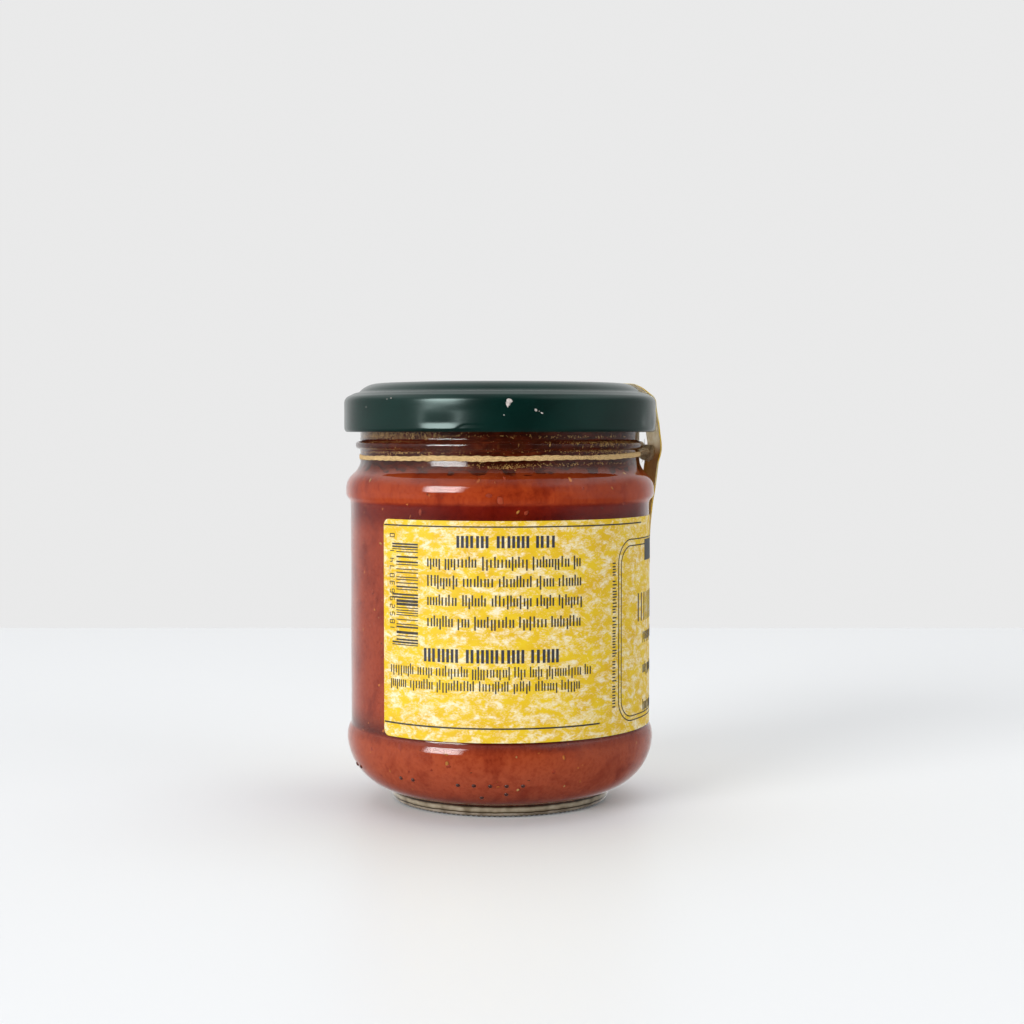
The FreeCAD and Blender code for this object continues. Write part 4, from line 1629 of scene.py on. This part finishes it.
# ---------------------------------------------------------------- seal and tie
def tube(
    name: str,
    paths: list[Strand],
    finish: Finish,
    ridges: int,
    twist: float,
    sides: int = 18,
) -> bpy.types.Object:
    """Ridged strands: a ring of sides carried along each path.

    A corner is centre + half width cos t beside + half depth sin t normal, both
    scaled by 1 + 0.16 cos(ridges t + twist s), which looks like twisted fibres.

    Args:
        name: The object's name.
        paths: For each strand its centres, its half sizes (beside, normal), the
            direction that beside leans to, and whether it closes on itself.
        finish: The finish that covers it.
        ridges: Ridges round a strand.
        twist: How far they turn per millimetre, in radians.
        sides: Corners round a strand.

    Returns:
        The new object.
    """
    points, faces, base = [], [], 0
    turn = np.arange(sides)[None, :, None] * FULL_TURN / sides
    for centres, sizes, lean, closed in paths:
        if closed:
            ahead = np.roll(centres, -1, 0) - np.roll(centres, 1, 0)
        else:
            ahead = np.gradient(centres, axis=0)
        ahead = unit(ahead)
        normal = unit(np.cross(ahead, lean))
        beside = np.cross(normal, ahead)
        along = distances(centres)[:, None, None]
        if closed:
            total = along[-1] + np.linalg.norm(centres[0] - centres[-1])
            rate = round(float(twist * total.item() / FULL_TURN)) * FULL_TURN / total
        else:
            rate = twist
        swell = 1 + 0.16 * np.cos(ridges * turn + rate * along)
        ring = (
            beside[:, None] * sizes[:, 0, None, None] * np.cos(turn)
            + normal[:, None] * sizes[:, 1, None, None] * np.sin(turn)
        )
        points.append((centres[:, None] + ring * swell).reshape(-1, 3))
        count = len(centres)
        faces.append(grid_faces(count, sides, True, closed) + base)
        base += count * sides
        if not closed:
            points.append(centres[[0, -1]])
            faces.append(fan(base, base - count * sides, sides, True))
            faces.append(fan(base + 1, base - sides, sides, False))
            base += 2
    return piece(name, np.vstack(points), faces, finish)


@dataclass
class Seal:
    """The paper seal from the lid's panel over the knot down to the label."""

    azimuth: float = 99.0
    width: float = 12.0
    paper: float = 0.12
    roll: float = 0.34
    roll_width: float = 0.7
    flat_until: float = 31.0
    over_lid_z: float = 90.0
    stuck_z: float = 59.0
    free_over: float = 6.0
    path: tuple[Pair, ...] = (
        (15.0, 92.45),
        (21.0, 92.45),
        (27.0, 92.45),
        (28.6, 92.41),
        (30.0, 92.25),
        (31.4, 91.72),
        (33.3, 90.38),
        (34.3, 89.55),
        (34.74, 88.7),
        (34.84, 87.6),
        (35.1, 85.9),
        (35.45, 84.0),
        (35.8, 81.2),
        (36.05, 79.3),
        (36.1, 78.2),
        (35.9, 76.8),
        (35.45, 75.2),
        (35.2, 73.4),
        (34.95, 71.3),
        (34.6, 68.7),
        (34.2, 66.4),
        (33.8, 62.8),
        (33.55, 60.2),
        (33.42, 58.3),
        (33.42, 55.4),
        (33.42, 52.5),
    )

    def build(self) -> None:
        """Makes the ribbon in place of the plain seal.

        Its inner face is the path carried across the width: flat across over the
        panel, bent round the jar's axis lower down.  Both long edges roll in a
        little, by the square of the distance from where the roll starts.
        """
        rows, columns = 240, 30
        line_points = smooth_path(np.array(self.path), rows)
        ahead = unit(np.gradient(line_points, axis=0))
        away = np.stack([-ahead[:, 1], ahead[:, 0]], -1)
        half = self.width / 2
        edge = np.cos(np.linspace(0, math.pi, columns))
        across = half * np.sign(edge) * np.abs(edge) ** 0.8
        rolled = np.clip((np.abs(across) - half + self.roll_width) / self.roll_width, 0, 1)
        low_enough = np.clip((self.flat_until - line_points[:, 0]) / 2.0, 0, 1)[:, None]
        bent = 1 - low_enough * (line_points[:, 1:] > self.over_lid_z)
        free = (line_points[:, 1:] - self.stuck_z) / self.free_over
        loose = bent * np.clip(free, 0, 1)
        shells = []
        for lift in (0.0, self.paper):
            drop = self.roll * rolled[None, :] ** 2 * loose
            out = line_points[:, None] + away[:, None] * lift
            radius = out[..., 0] - drop
            height = out[..., 1] + 0 * radius
            shells.append(self.wrap(radius, height, across[None, :], bent))
        points = np.stack(shells, 1)
        loop = np.concatenate([points[:, 0], points[:, 1, ::-1]], 1)
        around = loop.shape[1]
        quads = grid_faces(rows, around, True)[:, ::-1]
        caps = []
        for row, flip in ((0, True), ((rows - 1) * around, False)):
            near = row + np.arange(columns - 1)
            far = row + around - 1 - np.arange(columns - 1)
            cap = np.stack([near, near + 1, far - 1, far], -1)
            caps.append(cap[:, ::-1] if flip else cap)
        ribbon = piece("seal_ribbon", loop.reshape(-1, 3), [quads] + caps, SEAL)
        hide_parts("seal_strip")

    def wrap(self, radius: Array, height: Array, across: Array, bent: Array) -> Array:
        """Puts ribbon points round the jar: flat across where bent is 0, curved at 1.

        Args:
            radius: Their distances from the axis.
            height: Their heights.
            across: How far each is from the ribbon's middle.
            bent: How much the ribbon bends there.

        Returns:
            The points.
        """
        middle = math.radians(self.azimuth)
        flat = np.stack(
            [
                radius * math.sin(middle) + across * math.cos(middle),
                -radius * math.cos(middle) + across * math.sin(middle),
                height,
            ],
            -1,
        )
        curved = polar(middle + across / np.maximum(radius, 20.0), radius, height)
        return flat * (1 - bent[..., None]) + curved * bent[..., None]


@dataclass
class Tie:
    """The flat fibre strand round the neck and its knot under the seal."""

    form: JarForm
    azimuth: float = 99.0
    width: float = 1.0
    thickness: float = 0.24
    above_shoulder: float = 0.45
    knot_rise: float = 0.7
    turn: float = 1.2
    strand: float = 0.62

    def strand_path(self) -> Strand:
        """A level ring against the neck, a little higher at the knot.

        Returns:
            The strand.
        """
        angle = np.arange(720) * FULL_TURN / 720
        away = np.cos(angle - math.radians(self.azimuth))
        height = self.form.neck_z + self.above_shoulder + 0.16 * away
        height = height + 0.38 * np.exp(-(((away - 1.0) / 0.25) ** 2))
        height = height + 0.05 * ripple(angle, 0 * angle, 14.0, 31.3, 131)
        centres = polar(angle, self.form.neck_radius + self.thickness * 0.42, height)
        thick = 1 + 0.12 * ripple(angle, 0 * angle, 9.0, 31.3, 132)
        sizes = np.stack([self.width / 2 * thick, self.thickness / 2 * thick], -1)
        return centres, sizes, np.array([[0.0, 0.0, 1.0]]), True

    def loop(self, reach: float, rise: float, size: float, plane: Triple, bulk: float) -> Strand:
        """A closed turn of the knot: a circle square to the plane vector.

        Args:
            reach: How far its middle is out from the neck.
            rise: How far it is up from the knot's middle.
            size: Its radius.
            plane: The vector, as outward, sideways and up.
            bulk: The strand's half thickness.

        Returns:
            The strand.
        """
        count = 40
        turn = np.arange(count) * FULL_TURN / count
        axis = self.local(plane)
        axis = axis / np.linalg.norm(axis)
        first = np.cross(axis, [0.0, 0.0, 1.0]) + 1e-6
        first /= np.linalg.norm(first)
        second = np.cross(axis, first)
        spot = self.place(reach, 0.0, rise)
        ring = np.cos(turn)[:, None] * first + 1.1 * np.sin(turn)[:, None] * second
        sizes = np.full((count, 2), bulk) * (1 + 0.15 * np.sin(turn + rise))[:, None]
        return spot + ring * size, sizes, axis[None], True

    def local(self, vector: Triple) -> Array:
        """A direction given as outward, sideways and up at the knot.

        Args:
            vector: The three parts.

        Returns:
            The direction in X, Y and Z.
        """
        angle = math.radians(self.azimuth)
        outward = np.array([math.sin(angle), -math.cos(angle), 0.0])
        sideways = np.array([math.cos(angle), math.sin(angle), 0.0])
        return outward * vector[0] + sideways * vector[1] + np.array([0, 0, vector[2]])

    def place(self, reach: float, side: float, rise: float) -> Array:
        """A point beside the knot.

        Args:
            reach: How far out from the neck.
            side: How far sideways.
            rise: How far up from the knot's middle.

        Returns:
            The point.
        """
        level = self.form.neck_z + self.above_shoulder + self.knot_rise + rise
        angle = math.radians(self.azimuth)
        sideways = np.array([math.cos(angle), math.sin(angle), 0.0]) * side
        return polar(angle, self.form.neck_radius + reach, level) + sideways

    def bunch(self, side: float, rise: float, bulk: float) -> Strand:
        """A short strand from the neck out to the knot.

        Args:
            side: Which way it leans, and how much.
            rise: How far up it ends.
            bulk: Its half thickness.

        Returns:
            The strand.
        """
        share = np.linspace(0, 1, 10)[:, None]
        start = self.place(0.2, side * 1.6, rise * 0.6)
        end = self.place(3.2, side * 0.3, rise)
        bend = self.local((0.0, side * 0.2, 0.35)) * np.sin(share * math.pi)
        centres = start * (1 - share) + end * share + bend
        sizes = np.full((10, 2), bulk) * (0.75 + 0.35 * share)
        return centres, sizes, self.local((0.1, 0.9, 0.4))[None], False

    def build(self) -> None:
        """Makes the strand and the knot in place of the plain tie."""
        ring = tube("tie_strand", [self.strand_path()], FIBRE, 3, 2.6)
        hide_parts("neck_tie")
        turns = [
            self.loop(3.25, 0.0, self.turn, (1.0, 0.15, -0.3), self.strand),
            self.loop(2.35, 0.1, self.turn * 0.95, (0.3, 1.0, 0.1), self.strand * 0.9),
            self.loop(2.7, -0.1, self.turn * 0.8, (0.2, 0.4, 1.0), self.strand * 0.85),
        ]
        bunches = ((-1.0, 0.5, 0.5), (1.0, 0.3, 0.5), (-0.4, -0.4, 0.45), (0.5, 0.9, 0.4))
        turns += [self.bunch(*bunch) for bunch in bunches]
        tube("tie_knot", turns, LIT_KNOT_FIBRE, 5, 3.2, 20)
        tube("tie_wisps", self.wisps(), LIT_KNOT_FIBRE, 2, 3.0, 6)

    def wisps(self) -> list[Strand]:
        """Loose fibres that stand out of the knot and curl back to it.

        Returns:
            The strands.
        """
        draw = np.random.default_rng(133)
        share = np.linspace(0, 1, 12)[:, None]
        strands = []
        for _ in range(26):
            start = self.place(*draw.uniform((1.6, -1.0, -0.8), (3.4, 1.0, 0.8)))
            away = self.local(tuple(draw.uniform((-0.9, -1.0, -1.0), (0.25, 1.0, 1.0))))
            away = away / np.linalg.norm(away) * draw.uniform(1.6, 2.9)
            bend = self.local(tuple(draw.uniform((-0.6, -0.8, -0.8), (0.2, 0.8, 0.8))))
            centres = start + away * share + bend * np.sin(share * math.pi)
            sizes = np.full((12, 2), 0.085) * (1.0 - 0.6 * share)
            strands.append((centres, sizes, self.local((0.2, 0.9, 0.4))[None], False))
        return strands


# ---------------------------------------------------------------- stage
@dataclass
class Stage:
    """Table, light and camera, none of them part of the jar."""

    table_back: float = 344.0
    table_side: float = 1600.0
    table_front: float = -1100.0
    camera_y: float = -405.4
    camera_z: float = 82.4
    pitch: float = 2.615
    focal: float = 63.73
    shift: float = 12 / 1024
    key_strength: float = 13.0

    def build(self) -> None:
        """Sets the table, the sky, the lamps and the camera."""
        self.table()
        self.sky()
        soft = (0.26, 0.14)
        self.softbox("window", -43.0, 17.5, 2200.0, 1380.0, 1240.0, self.key_strength, soft)
        fill = self.softbox("fill", 55.0, 20.0, 1500.0, 900.0, 900.0, 2.2)
        overhead = self.softbox("overhead", 150.0, 74.0, 1300.0, 1300.0, 900.0, 1.6)
        for lamp in (fill, overhead):
            lamp.visible_glossy = False
        self.camera()

    def table(self) -> None:
        """A flat pale top that ends behind the jar."""
        side, near, far = self.table_side, self.table_front, self.table_back
        corners = np.array(
            [(-side, near, 0.0), (side, near, 0.0), (side, far, 0.0), (-side, far, 0.0)]
        )
        top = piece("table_top", corners, [np.array([[0, 1, 2, 3]])], TABLE_TOP, False)
        top.visible_glossy = False

    def sky(self) -> None:
        """A pale room that lights evenly but is dimmer where the jar mirrors it."""
        world = bpy.data.worlds.new("pale_room")
        bpy.context.scene.world = world
        world.use_nodes = True
        tree = world.node_tree
        tree.nodes.clear()
        facing = put(tree, "TexCoord", out="Generated")
        x, y, z = put(tree, "SeparateXYZ", (facing,)).node.outputs
        room = self.fade(tree, y, (-0.95, 0.5), (0.12, 0.8))
        mirrored = self.mirrored_room(tree, x, y, z)
        path = put(tree, "LightPath").node.outputs
        strength = self.choose(tree, path["Is Diffuse Ray"], 0.82, room)
        strength = self.choose(tree, path["Is Glossy Ray"], strength, mirrored)
        back = put(tree, "Background", {"Color": (1.0, 1.0, 1.0, 1.0), "Strength": strength})
        put(tree, "OutputWorld", {"Surface": back})

    def mirrored_room(self, tree: Tree, x: Socket, y: Socket, z: Socket) -> Socket:
        """How bright the room is where glass and lacquer mirror it.

        It is dark towards -Y and below, brighter to the left than to the right, with
        a pale ceiling towards the sides and the back.

        Args:
            tree: The world's node tree.
            x: The direction's part along X.
            y: The direction's part along Y.
            z: The direction's part along Z.

        Returns:
            The strength.
        """
        front = self.fade(tree, y, (-1.0, -0.3), (0.0, 0.42))
        rear = self.fade(tree, y, (0.55, 0.95), (0.0, 0.42))
        walls = put(tree, "Math", (front, rear), operation="ADD")
        lean = put(tree, "Math", (x, -0.12, 1.0), operation="MULTIPLY_ADD")
        leaning = put(tree, "Math", (walls, lean), operation="MULTIPLY")
        below = self.fade(tree, z, (-0.7, -0.08), (0.25, 1.0))
        low = put(tree, "Math", (leaning, below), operation="MULTIPLY")
        wide = put(tree, "Math", (x,), operation="ABSOLUTE")
        beside = self.fade(tree, wide, (0.2, 0.6), (0.0, 0.6))
        behind = self.fade(tree, y, (-0.1, 0.6), (0.0, 0.32))
        either = put(tree, "Math", (beside, behind), operation="MAXIMUM")
        high = self.fade(tree, z, (0.35, 0.75), (0.0, 1.0))
        ceiling = put(tree, "Math", (either, high), operation="MULTIPLY")
        return put(tree, "Math", (low, ceiling), operation="ADD")

    def fade(self, tree: Tree, value: Socket, source: Pair, target: Pair) -> Socket:
        """Eases from one strength to another as a value crosses a span."""
        levels = (value, *source, *target)
        return put(tree, "MapRange", levels, interpolation_type="SMOOTHSTEP")

    def choose(self, tree: Tree, switch: Socket, no: Socket | float, yes: Socket) -> Socket:
        """A strength that is one value where a switch is 0 and another where it is 1."""
        return put(tree, "Mix", {0: switch, 2: no, 3: yes}, data_type="FLOAT")

    def softbox(
        self,
        name: str,
        azimuth: float,
        elevation: float,
        distance: float,
        width: float,
        height: float,
        radiance: float,
        soft: Pair | None = None,
    ) -> bpy.types.Object:
        """A rectangular lamp that faces the jar's middle.

        Args:
            name: The lamp's name.
            azimuth: Where it stands round the jar.
            elevation: How high it stands, in degrees.
            distance: How far off, in millimetres.
            width: Its width.
            height: Its height.
            radiance: How bright its face is.
            soft: Shares of its width and height over which its edges fade, if they do.

        Returns:
            The lamp.
        """
        lamp = bpy.data.lights.new(name, "AREA")
        lamp.shape = "RECTANGLE"
        lamp.size, lamp.size_y = width * MM, height * MM
        lamp.energy = radiance * math.pi * width * height * MM * MM
        if soft:
            self.soften(lamp, soft)
        made = bpy.data.objects.new(name, lamp)
        bpy.context.scene.collection.objects.link(made)
        flat, up = math.radians(azimuth), math.radians(elevation)
        away = polar(flat, math.cos(up), math.sin(up))
        made.location = [float(v) for v in away * distance * MM + np.array([0, 0, 0.045])]
        made.rotation_euler = (math.pi / 2 - up, 0.0, flat)
        return made

    def soften(self, lamp: bpy.types.Light, soft: Pair) -> None:
        """Fades a lamp's face towards its edges, each way by a smooth step.

        Args:
            lamp: The lamp.
            soft: Shares of its width and height over which it fades.
        """
        lamp.use_nodes = True
        tree = lamp.node_tree
        tree.nodes.clear()
        face = put(tree, "NewGeometry", out="Parametric")
        place = put(tree, "SeparateXYZ", (face,)).node.outputs
        shares = []
        for axis, share in zip("XY", soft):
            away = put(tree, "Math", (place[axis], 0.5), operation="SUBTRACT")
            far = put(tree, "Math", (away,), operation="ABSOLUTE")
            shares.append(self.fade(tree, far, (0.5 - share, 0.5), (1.0, 0.0)))
        strength = put(tree, "Math", tuple(shares), operation="MULTIPLY")
        put(tree, "OutputLight", {"Surface": put(tree, "Emission", {"Strength": strength})})

    def camera(self) -> None:
        """A level-headed camera in front of the jar, pitched slightly down."""
        data = bpy.data.cameras.new("front_camera")
        data.lens = self.focal
        data.sensor_width = 36.0
        data.shift_x = self.shift
        data.clip_start, data.clip_end = 0.01, 20.0
        made = bpy.data.objects.new("front_camera", data)
        bpy.context.scene.collection.objects.link(made)
        made.location = (0.0, self.camera_y * MM, self.camera_z * MM)
        made.rotation_euler = (math.radians(90 - self.pitch), 0.0, 0.0)
        bpy.context.scene.camera = made
        bpy.context.scene.view_settings.view_transform = "Standard"


def main() -> None:
    """Builds every sub-assembly in order."""
    logging.basicConfig(level=logging.INFO, format="%(name)s %(message)s")
    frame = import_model()
    nodes = frame["nodes"]
    form = JarForm()
    GlassJar(form).build()
    Contents(form).build()
    Lid().build(nodes["lid"])
    Label().build(nodes["label"])
    Seal().build()
    Tie(form).build()
    Stage().build()


if __name__ == "__main__":
    main()
